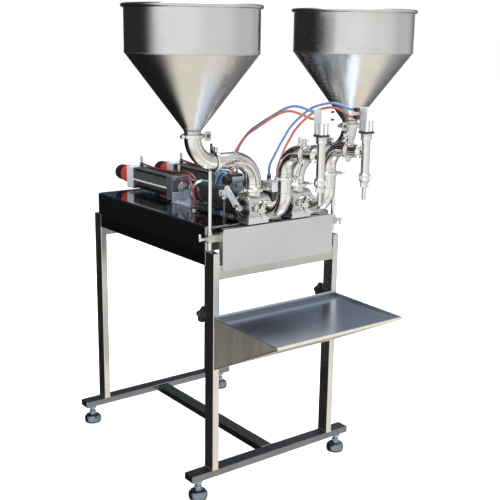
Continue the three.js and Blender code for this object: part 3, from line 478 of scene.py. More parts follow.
# ---------- air hoses: the routes of the frame ----------
HOSE_RADIUS = 4.0
HOSES = {
    "hose_blue_l": [
        (-93.5, -680, 1344), (-93.5, -662, 1344), (-93.5, -620, 1351), (-92, -580, 1352),
        (-91, -540, 1343), (-88, -490, 1323), (-85, -440, 1301), (-82, -390, 1278), (-79, -341, 1253),
        (-68, -285, 1215), (-56, -240, 1175), (-40, -209, 1140), (-30, -200, 1110), (-30, -200, 1092.5),
    ],
    "hose_red_l": [
        (-93.5, -680, 1321), (-93.5, -662, 1321), (-98, -620, 1331), (-103, -580, 1337),
        (-103, -540, 1331), (-101, -490, 1312), (-98, -440, 1289), (-95, -390, 1265), (-92, -341, 1240),
        (-82, -285, 1201), (-71, -240, 1162), (-55, -209, 1132), (-46, -200, 1108), (-46, -200, 1092.5),
    ],
    "hose_blue_r": [
        (62.5, -687.5, 1344), (62.5, -670, 1344), (58.5, -635, 1353), (50, -602, 1358), (45, -560, 1351),
        (40, -513, 1336), (34, -462, 1303), (28, -418, 1264), (21, -399, 1232), (13, -384, 1203),
        (3, -368, 1165), (-6, -358, 1137), (-8, -356, 1118), (-8, -356, 1104.5),
    ],
    "hose_red_r": [
        (62.5, -687.5, 1321), (62.5, -670, 1321), (62, -635, 1335), (59, -600, 1343), (56, -560, 1339),
        (51, -513, 1323), (46, -466, 1291), (40, -428, 1254), (32, -411, 1222), (24, -400, 1196),
        (14, -391, 1160), (6, -386, 1132), (4, -385, 1114), (4, -385, 1098.5),
    ],
    "supply_hose_a": [
        (-30, -95, 968.5), (-30, -95, 985), (-30, -95, 1010), (-29, -97, 1034), (-27, -106, 1056),
        (-23, -123, 1069), (-19, -142, 1069), (-16, -156, 1066.5), (-16, -171.5, 1066),
    ],
    "supply_hose_b": [
        (-42, -95, 968.5), (-42, -95, 985), (-43, -94, 1015), (-44, -95, 1044), (-42, -104, 1068),
        (-37, -122, 1081), (-32, -141, 1077), (-28, -156, 1067.5), (-28, -171.5, 1066),
    ],
}

# One air cylinder's two hoses. Places along x are from the unit's axis.
PORT_HOSES = {
    "front_port_hose": [
        (-20, 43.5, 1036), (-20, 30, 1036), (-23, 10, 1042), (-29, -15, 1050), (-37, -42, 1053),
        (-46, -70, 1045), (-52, -92, 1025), (-54, -105, 1000), (-54, -110, 985), (-54, -110, 968.5),
    ],
    "rear_port_hose": [
        (0, 334.5, 1056), (0, 318, 1056), (4, 290, 1052), (8, 250, 1049.5), (12, 200, 1049.5),
        (16, 150, 1050.5), (20, 115, 1054), (24, 80, 1058), (27, 50, 1057), (29, 22, 1046),
        (30, 3, 1025), (30, -7, 1000), (30, -8, 984), (30, -8, 968.5),
    ],
}
for hand, sx in SIDES.items():
    for name, route in PORT_HOSES.items():
        HOSES[f"{name}_{hand}"] = [(sx * UNIT_X + x, y, z) for x, y, z in route]


def make_hose(name, route):
    line = [TO_ROW @ p for p in smooth_line(route)]
    curve = bpy.data.curves.new(name + "_look", "CURVE")
    curve.dimensions = "3D"
    curve.bevel_depth = HOSE_RADIUS / 1000
    curve.bevel_resolution = 5
    curve.use_fill_caps = True
    spline = curve.splines.new("POLY")
    spline.points.add(len(line) - 1)
    for point, place in zip(spline.points, line):
        point.co = (*place, 1)
    spline.use_smooth = True
    slot = "blue_hose" if "blue" in name or "supply" in name else "red_hose"
    colour = "dark_red_hose" if "port" in name else slot
    curve.materials.append(MATERIALS[colour])
    made = bpy.data.objects.new(name + "_look", curve)
    bpy.context.scene.collection.objects.link(made)
    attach(made, "frame")
    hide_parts(name)


for name, route in HOSES.items():
    make_hose(name, route)


# ---------- small hardware, built round z ----------
def hex_nut(across, start, end):
    return prism(hexagon(across), start, end, 0.5)


def socket_screw(radius, start, height):
    """A cap screw's head with its hexagon socket, on the face at start."""
    top = start + height
    return lathe([(0, start), (radius, start), (radius, top), (radius * 0.5, top),
                  (radius * 0.45, top - height * 0.5), (0, top - height * 0.5)], 16, 0.4)


def wing_nut(start, direction=1):
    """A hub with two rounded wings. The hub grows along z from start."""
    end = start + 9 * direction
    shapes = [rod(5.5, *span(start, end), sides=20, rounding=1.2)]
    for side in (-1, 1):
        outline = rounded(span(side * 3, side * 14), span(start, end + 4 * direction), 3.2, 4)
        wing = prism(outline, -1.6, 1.6, 0.7)
        wing.transform(Matrix.Rotation(math.radians(90), 4, "X"))
        shapes.append(wing)
    return shapes


def pipe_clamp(radius, half, reach, lug=True, grip=False):
    """A hinged ring clamp round z. Its ears and wing bolt are on +x, its hinge on -x.
    With grip, the bolt has a square grip plate instead of wings."""
    inner = radius - 5
    profile = [(inner, -half + 1), (radius - 2.5, -half), (radius, -half + 2), (radius, half - 2),
               (radius - 2.5, half), (inner, half - 1), (inner, -half + 1)]
    parts = [("polish", lathe(profile, 48, 0.8))]
    for side in (-1, 1):
        ear = cuboid((radius - 3, radius + reach), span(side * 1.5, side * 8), about(0, half - 1.5), 1.6, 3)
        parts.append(("polish", ear))
    bolt_x = radius + reach * 0.6
    parts.append(("machined", put(rod(3.2, -13, 13, 16), "y", (bolt_x, 0, 0))))
    if grip:
        parts.append(("panel", cuboid(about(bolt_x, 12), (-23.5, -18), about(0, 15), 2.5, 3)))
        parts.append(("dark_steel", put(rod(6.5, -26, -23, 24, 0.8), "y", (bolt_x, 0, 0))))
        parts.append(("machined", put(rod(3.2, -19, -12, 16), "y", (bolt_x, 0, 0))))
    else:
        for shape in wing_nut(-14, -1):
            parts.append(("polish", put(shape, "y", (bolt_x, 0, 0), 90)))
    if lug:
        parts.append(("polish", cuboid((-radius - 8, -radius + 2), about(0, 7), about(0, half - 2), 2, 3)))
        for x in (-radius - 4.5, -radius + 0.5):
            parts.append(("machined", put(rod(2.2, -half, half, 16), "z", (x, 0, 0))))
    return parts


def mirrored(parts):
    """The same parts on the other side of the yz plane."""
    for name, shape in parts:
        shape.transform(Matrix.Scale(-1, 4, (1, 0, 0)))
        bmesh.ops.reverse_faces(shape, faces=shape.faces[:])
    return parts


def aimed(parts, at, axis="z", turn=0.0):
    return [(name, put(shape, axis, at, turn)) for name, shape in parts]


def push_fitting(colour, length=14.0, radius=6.5):
    """A straight push-in fitting: hexagon, black body and coloured release ring, up z from 0."""
    return [
        ("machined", hex_nut(radius * 1.9, 0, length * 0.35)),
        ("black", rod(radius, length * 0.3, length * 0.8, 24, 1.0)),
        (colour, ring(4.1, radius * 0.85, length * 0.75, length, 24, 0.6)),
    ]


def bulkhead(colour, x, y, base):
    """The fitting where a hose goes through a plate whose top is at base."""
    parts = [("machined", hex_nut(17, base - 0.5, base + 6)), ("black", rod(7, base + 5, 964, 24, 1.0)),
             (colour, ring(4.1, 6, 963, 968, 24, 0.6))]
    return aimed(parts, (x, y, 0))


# ---------- stand ----------
def tube(x, y, z):
    return cuboid(x, y, z, 2.6, 3)


def screw_thread(radius, start, end, pitch=2.4):
    """Profile of a threaded stretch, from bottom to top."""
    points = []
    for k in range(int((end - start) / pitch)):
        points += [(radius, start + k * pitch), (radius - 1, start + (k + 0.5) * pitch)]
    return points


parts = [("base_y", tube((-25, 25), (-362, 362), (72, 97)))]
for sy in (-1, 1):
    bar_y = span(362 * sy, 412 * sy)
    parts.append(("base_x", tube((-358, 358), bar_y, (72, 97))))
    parts.append(("tube_x", tube((-250, 250), span(387 * sy, 412 * sy), (778, 828))))
    parts.append(("weld", cuboid((-26, 26), span(360.6 * sy, 363 * sy), (72.5, 97.6), 1.0)))
    for sx in (-1, 1):
        leg_x = span(250 * sx, 275 * sx)
        parts.append(("tube_z", tube(leg_x, bar_y, (97, 869))))
        parts.append(("weld", cuboid((leg_x[0] - 1.3, leg_x[1] + 1.3), (bar_y[0] - 0.4, bar_y[1] + 0.4),
                                     (95.8, 99.6), 1.3)))
        end_cap = cuboid(span(357 * sx, 359 * sx), (bar_y[0] + 2, bar_y[1] - 2), (74, 95), 0.8)
        parts.append(("base_y", end_cap))
        parts.append(("weld", cuboid(span(249 * sx, 251 * sx), span(386 * sy, 412.3 * sy), (777, 829), 0.9)))
for sx in (-1, 1):
    parts.append(("rail_y", tube(span(250 * sx, 275 * sx), (-362, 362), (819, 869))))
    for sy in (-1, 1):
        bead = cuboid(span(249.6 * sx, 275.4 * sx), span(361 * sy, 363 * sy), (818, 869.4), 0.9)
        parts.append(("weld", bead))
piece("stand", parts)

for end, sy in (("front", -1), ("rear", 1)):
    for hand, sx in SIDES.items():
        foot = [(0, 6), (31, 6), (33, 8), (33, 13), (31.6, 14), (31.6, 15), (33, 16), (33, 21), (27, 29),
                (15, 33), (13.5, 35), (13.5, 43), (0, 43)]
        screw = [(0, 40)] + screw_thread(9, 42, 64) + [(8, 66), (0, 66)]
        parts = [
            ("rubber", rod(31, 0, 6, 40, 1.5)),
            ("foot", lathe(foot, 48, 2.0)),
            ("machined", lathe(screw, 24, 0)),
            ("foot", hex_nut(24, 41, 47)),
            ("foot", hex_nut(30, 58, 68)),
            ("foot", rod(19, 68, 72, 32)),
        ]
        parts = aimed(parts, (320 * sx, 388 * sy, 0))
        piece(f"foot_{end}_{hand}", parts, f"foot_{end}_{hand}")


# ---------- housing and front panel ----------
def housing():
    """A folded cover with round upright corners and a rounded top edge, open underneath."""
    wall, edge = 2.0, 7.0

    def outline(inset, height):
        x, y = about(0, 272 - inset), (-368 + inset, 398 - inset)
        return [(px, py, height) for px, py in rounded(x, y, 22 - inset, 8)]

    rings = [outline(wall, BOX_TOP - wall), outline(wall, 870), outline(0.6, 869), outline(0, 869.8)]
    for i in range(7):
        angle = math.pi / 2 * i / 6
        rings.append(outline(edge * (1 - math.cos(angle)), BOX_TOP - edge * (1 - math.sin(angle))))
    return loft(rings)


parts = [("mirror", housing())]
for sx in (-1, 1):
    lever_x = sx * UNIT_X - 66.5
    parts.append(("black", put(ring(5.6, 11, 949, 953, 24), "z", (lever_x, -307, 0))))
    parts += bulkhead("red", sx * UNIT_X - 54, -110, BOX_TOP)
for x in (-30, -42):
    parts += bulkhead("blue", x, -95, BOX_TOP)
piece("machine_box", parts)

parts = [("panel", put(prism(rounded((806, 946), (-241, 241), 9, 6), -415, -412, 0.8), "y"))]
parts.append(("panel", cuboid((-232, 232), (-414, -392), (943, 946), 1.0)))
for sx in (-1, 1):
    parts.append(("panel", cuboid(span(238 * sx, 241 * sx), (-414, -392), (832, 934), 1.0)))
piece("front_panel", parts)

# ---------- pipe support ----------
parts = [("tube_x", cuboid((-283, 283), (-392, -368), (902, 926), 2.0, 3))]
for sx in (-1, 1):
    parts.append(("machined", put(hex_nut(17, *span(283 * sx, 289 * sx)), "x", (0, FEED_Y, 914))))
piece("cross_bar", parts)

for hand, sx in SIDES.items():
    post = rod(6.75, 875, 1139, 32, 2.0)
    parts = aimed([("polish", post), ("machined", ring(6.8, 10, 926, 934, 32))], (POST_X * sx, FEED_Y, 0))
    piece(f"post_{hand}", parts)
    shank = put(rod(4.8, *span(290 * sx, 309 * sx), sides=24), "x", (0, FEED_Y, 914))
    knee = put(rod(6.0, *span(303 * sx, 314 * sx), sides=24, rounding=2.0), "x", (0, FEED_Y, 914))
    grip = put(lathe([(0, 0), (5, 0), (4.2, 5), (5.2, 17), (4, 20), (0, 20)], 24, 1.5),
               "z", (309 * sx, FEED_Y, 914))
    if sx > 0:
        grip.transform(Matrix.Translation((0, 0, 914)) @ Matrix.Scale(-1, 4, (0, 0, 1))
                       @ Matrix.Translation((0, 0, -914)))
        bmesh.ops.reverse_faces(grip, faces=grip.faces[:])
    piece(f"post_screw_{hand}",
          [("machined", shank), ("polish", knee), ("polish", grip)], f"post_screw_{hand}")


# ---------- hoppers and feed pipes ----------
def hopper_wall():
    inner, outer = 206.5, 209.0
    rim = []
    for i in range(15):
        angle = math.radians(-110 + 300 * i / 14)
        rim.append((211.5 + 6.5 * math.cos(angle), 1647.5 + 6.5 * math.sin(angle)))
    profile = [(23.5, 1253.5), (23.5, 1270), (inner, 1509.5)] + [(inner, 1641)]
    profile += rim[::-1]
    profile += [(outer, 1640), (outer, 1509), (26.5, 1269), (26, 1258), (30.5, 1256.5), (30.5, 1253.5)]
    return lathe(profile + [profile[0]], 112, 0.7)


for hand, sx in SIDES.items():
    parts = [
        ("hopper", hopper_wall()),
        ("weld", ring(207.8, 209.7, 1507, 1511, 112, 0.9)),
        ("weld", ring(25.5, 27.8, 1267.5, 1271.5, 48, 0.9)),
        ("weld", cuboid((208.2, 209.5), about(0, 1.6), (1511, 1640), 0.5)),
    ]
    turned = 110 if sx < 0 else 35
    piece(f"hopper_{hand}", aimed(parts, (HOPPER_X * sx, FEED_Y, 0), "z", turned))
    clamp = pipe_clamp(35.5, 7, 15, grip=True)
    if sx > 0:
        clamp = mirrored(clamp)
    piece(f"hopper_clamp_{hand}", aimed(clamp, (HOPPER_X * sx, FEED_Y, 1253)))
    clamp = aimed(pipe_clamp(35.5, 7, 15), (UNIT_X * sx, FEED_Y, 1062))
    piece(f"inlet_clamp_{hand}", clamp)

    corners = [(HOPPER_X * sx, FEED_Y, 1251), (HOPPER_X * sx, FEED_Y, 1166),
               (UNIT_X * sx, FEED_Y, 1166), (UNIT_X * sx, FEED_Y, 1064)]
    parts = [("polish", sweep(bent(corners, 84), 27, 40))]
    ferrule = [(0, 0), (30.5, 0), (30.5, 2), (27, 5), (0, 5)]
    parts += aimed([("polish", lathe(ferrule, 48, 0.5))], (UNIT_X * sx, FEED_Y, 1062))
    flipped = [(0, -5), (27, -5), (30.5, -2), (30.5, 0), (0, 0)]
    parts += aimed([("polish", lathe(flipped, 48, 0.5))], (HOPPER_X * sx, FEED_Y, 1253))
    bead = ring(26.4, 27.7, -1.3, 1.3, 48, 0.6)
    parts.append(("weld", put(bead, "z", (UNIT_X * sx, FEED_Y, 1082))))
    for bead_x in (253, 177.5):
        parts.append(("weld", put(ring(26.4, 27.7, -1.3, 1.3, 48, 0.6), "x", (bead_x * sx, FEED_Y, 1166))))
    union = aimed(pipe_clamp(34, 7, 14, lug=False), (250 * sx, FEED_Y, 1166), "x", 90)
    piece(f"feed_pipe_{hand}", parts + union)

# ---------- valves ----------
for hand, sx in SIDES.items():
    x = UNIT_X * sx
    barrel = [(26, -45), (41, -45), (43, -43), (43, 43), (41, 45), (26, 45), (26, -45)]
    parts = [("valve", lathe(barrel, 64, 0.8))]
    parts += [("machined", ring(36.5, 38.5, *about(s * 45.2, 0.8), 48, 0.4)) for s in (-1, 1)]
    parts = aimed(parts, (x, VALVE_Y, AXIS_Z), "x")
    inlet = [(0, 1030), (29, 1036), (29, 1043), (27, 1046), (27, 1056), (30.5, 1059), (30.5, 1062),
             (0, 1062)]
    parts += aimed([("polish", lathe(inlet, 48, 1.0))], (x, FEED_Y, 0))
    outlet = [(0, -458), (28, -458), (28, -455), (23, -452), (23, -431), (26, -428), (26, -420), (0, -420)]
    parts.append(("polish", put(lathe(outlet, 48, 1.0), "y", (x, 0, AXIS_Z))))
    rear = [(0, -375), (40, -375), (40, -346), (48, -346), (48, -338.2), (0, -338.2)]
    parts.append(("polish", put(lathe(rear, 64, 1.0), "y", (x, 0, AXIS_Z))))
    parts.append(("machined", cuboid(about(x, 42), about(VALVE_Y, 30), (950, 984), 2.0, 3)))
    parts.append(("panel", cuboid(about(x, 44), about(VALVE_Y, 26), (950, 956), 1.2)))
    for across in (-34, 34):
        parts.append(("machined", put(socket_screw(4, 956, 3), "z", (x + across, VALVE_Y - 21, 0))))
    piece(f"valve_body_{hand}", parts)

    plug = [(0, -44), (15, -44), (16, -42), (24.9, -42), (24.9, 44), (0, 44)]
    lever_x = x - LEVER_OFFSET
    parts = [("dark_steel", put(lathe(plug, 48, 0.8), "x", (x, VALVE_Y, AXIS_Z)))]
    shaft = [(0, -78.5), (6, -78.5), (8, -76.5), (8, -58), (11, -57), (11, -46), (8, -44), (0, -44)]
    parts.append(("polish", put(lathe(shaft, 32, 0.6), "x", (x, VALVE_Y, AXIS_Z))))
    parts.append(("machined", put(ring(8, 13.5, -73, -60, 32), "x", (x, VALVE_Y, AXIS_Z))))
    outline = []
    for i in range(13):
        angle = math.radians(90 + 15 * i)
        outline.append((13 * math.cos(angle), 13 * math.sin(angle)))
    for i in range(13):
        angle = math.radians(-90 + 15 * i)
        outline.append((LEVER_LENGTH + 11 * math.cos(angle), 11 * math.sin(angle)))
    arm = prism(outline, -4, 4, 1.0)
    arm.transform(Matrix.Rotation(LEVER_REST, 4, "Z"))
    parts.append(("cap_light", put(arm, "x", (lever_x, VALVE_Y, AXIS_Z))))
    piece(f"valve_rotor_{hand}", parts, f"valve_rotor_{hand}")

    parts = [("dark_steel", put(rod(4.4, 940, 1034, 24), "z", (lever_x, PUSH_ROD_Y, 0)))]
    parts.append(("machined", put(hex_nut(14, 1024, 1032), "z", (lever_x, PUSH_ROD_Y, 0))))
    parts.append(("cap_light", cuboid(about(lever_x, 11), about(PUSH_ROD_Y, 16), (1032, 1040), 2.0, 3)))
    for side in (-1, 1):
        cheek = prism(rounded(about(PUSH_ROD_Y, 16), (1033, 1054), 6, 5), *span(side * 5, side * 11), 0.8)
        parts.append(("cap_light", put(cheek, "x", (lever_x, 0, 0))))
        head = put(hex_nut(9, *span(side * 11, side * 13.5)), "x", (lever_x, PUSH_ROD_Y, 1046))
        parts.append(("machined", head))
    piece(f"push_rod_{hand}", parts, f"push_rod_{hand}")

# ---------- metering cylinders, pistons and air cylinders ----------
for hand, sx in SIDES.items():
    x = UNIT_X * sx
    wall = [(40, -338), (48, -338), (48, -329), (44, -327), (44, -77), (48, -75), (48, -66), (40, -66),
            (40, -338)]
    parts = [("polish_y", lathe(wall, 64, 0.8))]
    parts += [("weld", ring(43.5, 44.7, y - 1.2, y + 1.2, 64, 0.5)) for y in (-325.5, -78.5)]
    for flange_y in (-338, -75.5):
        for k in range(3):
            angle = math.radians(30 + 120 * k)
            grip = cuboid((46, 50), about(0, 6), (flange_y + 1, flange_y + 8.5), 1.0)
            parts.append(("polish", put(grip, "z", (0, 0, 0), math.degrees(angle))))
    piece(f"metering_cylinder_{hand}", aimed(parts, (x, 0, AXIS_Z), "y"))

    shaft = [(0, -334), (39.2, -334), (39.2, -309), (10, -309), (10, 104), (33.2, 104), (33.2, 129),
             (0, 129)]
    piece(f"piston_{hand}",
          aimed([("polish_y", lathe(shaft, 48, 1.0))], (x, 0, AXIS_Z), "y"), f"piston_{hand}")

    parts = [("barrel", ring(34, 38, 99, 344, 64))]
    parts = aimed(parts, (x, 0, AXIS_Z), "y")
    parts.append(("cap_dark", cuboid(about(x, 43), (58, 100), about(AXIS_Z, 43), 4.5, 3)))
    parts.append(("cap_light", cuboid(about(x, 43), (346, 397), about(AXIS_Z, 43), 4.5, 3)))
    # The dark plate over the front face of the rear cap is painted shade on that face.
    parts.append(("cap_dark", cuboid(about(x, 42), (341, 348), about(AXIS_Z, 42), 2.0, 2)))
    parts.append(("machined", put(ring(10.6, 20, 50, 59, 40, 1.5), "y", (x, 0, AXIS_Z))))
    for across in (-33, 33):
        for up in (-33, 33):
            at = (x + across, 0, AXIS_Z + up)
            parts.append(("dark_steel", put(rod(4.4, 99, 344, 24), "y", at)))
            parts.append(("machined", put(hex_nut(11, 53, 58.5), "y", at)))
            parts.append(("machined", put(hex_nut(11, 396, 402), "y", at)))
    at = (x - 41, 0, AXIS_Z - 5)
    parts.append(("cap_light", put(rod(3.2, 99, 344, 20), "y", at)))
    for y in (112, 300):
        parts.append(("black", cuboid(about(x - 41, 4), about(y, 9), about(AXIS_Z - 17, 5), 1.5)))
    parts += aimed(push_fitting("red", 15, 7.0), (x - 20, 58, 1036), "back")
    parts += aimed(push_fitting("red", 16, 6.5), (x, 351, 1056), "back")
    for y in (78, 351):
        base = [(0, 1046), (8.5, 1046), (8.5, 1051), (6.5, 1053), (6.5, 1062), (0, 1062)]
        knob = [(0, 1062), (4, 1062), (4, 1069), (5.5, 1070), (5.5, 1085), (4.5, 1087), (0, 1087)]
        parts.append(("black", put(lathe(base, 24, 0.6), "z", (x, y, 0))))
        parts.append(("machined", put(lathe(knob, 24, 0.6, 12, 0.08), "z", (x, y, 0))))
    piece(f"air_cylinder_{hand}", parts)

    drum = [(0, 397), (35, 397), (35, 459), (33, 461), (0, 461)]
    knob = [(0, 458), (31, 458), (31, 508), (28, 518), (20, 530), (9, 536.5), (0.5, 538), (0, 538)]
    screw = [(0, 345), (8, 345), (8, 398), (0, 398)]
    parts = [("red", lathe(drum, 64, 1.5)), ("black", lathe(knob, 96, 1.5, 16, 0.05)),
             ("polish_y", lathe(screw, 32, 0.8))]
    piece(f"stroke_knob_{hand}", aimed(parts, (x, 0, AXIS_Z), "y"), f"stroke_knob_{hand}")

parts = [("anodised", cuboid((-140, 140), (-66, 58), (950, 958), 1.5))]
for x in (-UNIT_X, UNIT_X):
    parts.append(("anodised", cuboid(about(x, 44), (-66, -56), (957, 1036), 2.0, 3)))
    parts += bulkhead("red", x + 30, -8, 958)
    parts.append(("anodised", cuboid(about(x, 44), (46, 58), (957, 990), 2.0, 3)))
    parts.append(("black", put(ring(10.4, 17, -56.5, -52, 40), "y", (x, 0, AXIS_Z))))
    for across in (-34, 34):
        for y in (-40, 32):
            parts.append(("machined", put(socket_screw(5, 957.5, 5), "z", (x + across, y, 0))))
piece("cylinder_carrier", parts)

# ---------- outlets and nozzles ----------
for hand, sx in SIDES.items():
    x = UNIT_X * sx
    corners = [(x, -460, AXIS_Z), (x, -545, AXIS_Z), (x, -545, 1210), (x, -635, 1210)]
    parts = [("polish", sweep(bent(corners, 70), 23, 40))]
    for z in (1076, 1138):
        parts.append(("weld", put(ring(22.4, 23.7, -1.3, 1.3, 48, 0.6), "z", (x, -545, z))))
    parts += aimed(pipe_clamp(30, 6.5, 14), (x, -545, 1122))
    parts += aimed(pipe_clamp(32, 6.5, 13), (x, -458, AXIS_Z), "y", 90)
    parts += aimed(pipe_clamp(30, 6.5, 16), (x, -637, 1210), "y", 0)
    parts.append(("polish", put(rod(28, -466, -458.2, 48), "y", (x, 0, AXIS_Z))))
    parts.append(("polish", put(rod(26, -636.8, -630, 48), "y", (x, 0, 1210))))
    piece(f"outlet_pipe_{hand}", parts)

    shell = [(5, 1060), (6.4, 1060), (7, 1062), (7, 1098), (9, 1100), (12, 1117), (17, 1120), (18, 1122),
             (18, 1127), (16.8, 1128), (16.8, 1136), (18, 1137), (18, 1142), (13.5, 1145), (13.5, 1250),
             (17.5, 1251), (17.5, 1262), (10.5, 1262), (10.5, 1112), (5.4, 1104), (5.4, 1070), (5, 1068),
             (5, 1060)]
    parts = aimed([("polish", lathe(shell, 48, 0.6)), ("machined", prism(hexagon(25), 1101, 1117, 1.0))],
                  (x, NOZZLE_Y, 0))
    branch = [(0, -714), (12, -713), (12, -699), (21, -687), (21, -645), (26, -642), (26, -637.2),
              (0, -637.2)]
    parts.append(("polish", put(lathe(branch, 48, 1.0), "y", (x, 0, 1210))))
    for k in range(3):
        lug = cuboid((16, 22), about(0, 4), (1125, 1139), 1.5)
        parts.append(("polish", put(lug, "z", (x, NOZZLE_Y, 0), 60 + 120 * k)))
    piece(f"nozzle_body_{hand}", parts)

    stem = [(0, 1061), (3.4, 1061), (4.4, 1063), (4.4, 1067), (3.5, 1070), (3.5, 1285), (14.4, 1285),
            (14.4, 1297), (0, 1297)]
    piece(f"nozzle_plunger_{hand}",
          aimed([("polish", lathe(stem, 32, 0.5))], (x, NOZZLE_Y, 0)), f"nozzle_plunger_{hand}")

    half, slot_half, slot_deep, step = 18.5, 2.8, 4.5, 7.5
    side = []
    for middle in (-step, step):
        side += [(middle - slot_half, half), (middle - slot_half, half - slot_deep),
                 (middle + slot_half, half - slot_deep), (middle + slot_half, half)]
    side = [(-half + 2.5, half)] + side + [(half - 2.5, half)]
    outline = []
    for quarter in range(4):
        turn = Matrix.Rotation(math.radians(-90 * quarter), 2)
        outline += [tuple(turn @ Vector(p)) for p in side]
    square = about(0, half)
    parts = [("aluminium", prism(outline, 1278, 1312, 0.3)),
             ("aluminium", cuboid(square, square, (1311, 1351), 2.0)),
             ("black", cuboid(about(0, half - 0.5), about(0, half - 0.5), (1270, 1279), 1.5)),
             ("machined", rod(17.5, 1260, 1271, 40, 1.2))]
    for across in (-12.5, 12.5):
        for along in (-12.5, 12.5):
            parts.append(("machined", put(socket_screw(3.2, 1349, 2), "z", (across, along, 0))))
    parts = aimed(parts, (x, NOZZLE_Y, 0))
    for z, colour in ((1321, "red"), (1344, "blue")):
        if sx > 0:
            parts.append(("machined", put(rod(5.5, x - 26.5, x - 17.5, 20), "x", (0, -700, z))))
            parts.append(("black", cuboid((x - 37.5, x - 24.5), (-708, -694), about(z, 6.5), 2.5, 3)))
            parts += aimed(push_fitting(colour, 14, 6.3), (x - 31, -701, z), "y")
        else:
            parts += aimed(push_fitting(colour, 15.5, 6.3), (x, -696, z), "y")
            plug = [(0, 17.5), (2.6, 17.5), (2.6, 33), (3.5, 34), (3.5, 40), (2.8, 40.5), (0, 40.5)]
            parts.append(("black", put(lathe(plug, 20, 0.4), "x", (x, NOZZLE_Y - 6, z))))
    piece(f"nozzle_cylinder_{hand}", parts)

# ---------- compressed air ----------
parts = [("dark_steel", cuboid((-28, 14), (-398, -344), (950, 1018), 1.5)),
         ("black", cuboid((-27, 13), (-397, -345), (1019, 1046), 2.0)),
         ("aluminium", cuboid((-28, 14), (-398, -344), (1047, 1080), 1.5))]
for y in (-388, -354):
    parts.append(("machined", put(socket_screw(3.6, 1079.5, 3), "z", (-20, y, 0))))
parts += aimed(push_fitting("blue", 25, 7.2), (-8, -356, 1079))
parts += aimed(push_fitting("red", 19, 6.5), (4, -385, 1079))
parts.append(("brass", put(hex_nut(13, -34, -27), "x", (0, -371, 1064))))
piece("air_manifold", parts)

bowl = [(0, -59), (17, -59), (17, -32), (16.2, -31), (16.2, -28), (17, -27), (17, -10), (14, -8), (0, -8)]
knob = [(0, -85), (15, -85), (17, -82), (17, -64), (13, -63), (13, -58), (0, -58)]
parts = [("anodised", put(lathe(bowl, 48, 0.8), "x", (0, -200, 1066))),
         ("black", put(lathe(knob, 64, 0.8, 16, 0.05), "x", (0, -200, 1066))),
         ("machined", cuboid((-34, -12), (-212, -188), (950, 1053), 1.5)),
         ("black", cuboid((-64, -12), (-213, -187), (1073, 1086), 2.0, 3))]
for x, colour in ((-46, "red"), (-30, "blue")):
    parts += aimed(push_fitting(colour, 7, 6.0), (x, -200, 1085))
for x in (-16, -28):
    parts += aimed(push_fitting("blue", 16, 6.5), (x, -188, 1066), "y")
piece("air_regulator", parts)

# ---------- tray ----------
def along_x(outline, x, bevel=0.7):
    return put(prism(outline, *x, bevel), "x")


parts = []
full = (-272, 272)
for x in ((-272, -269), (269, 272)):
    cheek = [(-412, 467), (-744, 635), (-744, 643), (-415, 648), (-415, 658), (-412, 658)]
    parts.append(("tray_side", along_x(cheek, x)))
parts.append(("tray_under", along_x([(-412, 467), (-412, 471), (-741, 637.5), (-744, 635)], full)))
parts.append(("tray_under", along_x([(-744, 635), (-741, 635), (-741, 643), (-744, 643)], full)))
sheet = [(-741, 635), (-415, 635), (-415, 638), (-741, 638)]
parts.append(("tray_top", along_x(sheet, (-269.5, 269.5), 0.3)))
# The dark strip along the tray's back upstand is a painted dark reflection on that sheet.
parts.append(("dark_steel", cuboid(full, (-415, -412), (615, 650), 0.3)))
parts.append(("tray_rim", cuboid(full, (-415, -412), (650, 658), 0.3)))
parts.append(("tray_side", cuboid((-225, 225), (-415, -412), (470, 500), 0.8)))
for sx in (-1, 1):
    parts.append(("tray_side", cuboid(span(225 * sx, 257 * sx), (-415, -412), (468, 616), 0.8)))
    parts.append(("tray_side", cuboid(span(268 * sx, 272 * sx), (-415, -412), (468, 616), 0.8)))
    parts.append(("tray_side", cuboid(span(256 * sx, 269 * sx), (-415, -412), (468, 516), 0.8)))
parts.append(("polish", put(rod(1.8, *full, 16), "x", (0, -742.5, 643))))
parts.append(("polish", put(rod(1.8, *full, 16), "x", (0, -413.5, 657))))
for sx in (-1, 1):
    rim = sweep([(270.5 * sx, -742.5, 643), (270.5 * sx, -414, 648)], 1.8, 16)
    parts.append(("polish", rim))
    parts.append(("tray_rim", along_x([(-741, 638), (-415, 638), (-415, 648), (-741, 643)],
                                      span(269.2 * sx, 268.4 * sx), 0.2)))
piece("tray", parts, "tray")

# ---------- star knobs ----------
for hand, sx in SIDES.items():
    outline = []
    for i in range(80):
        angle = 2 * math.pi * i / 80
        radius = 25.5 + 3.5 * math.cos(5 * angle)
        outline.append((radius * math.cos(angle), radius * math.sin(angle)))
    head = prism(outline, -348, -328, 3.0)
    hub = lathe([(0, -361.8), (11, -361.8), (12, -352), (15, -346), (0, -346)], 32, 1.0)
    cap = lathe([(0, -330), (10, -330), (10, -327.2), (8, -326.4), (0, -326.4)], 32, 0.6)
    bolt = rod(4.1, -414.8, -360, 24)
    parts = [("black", head), ("black", hub), ("black", cap), ("machined", bolt)]
    piece(f"star_knob_{hand}",
          aimed(parts, (KNOB_X * sx, 0, KNOB_Z), "y"), f"star_knob_{hand}")


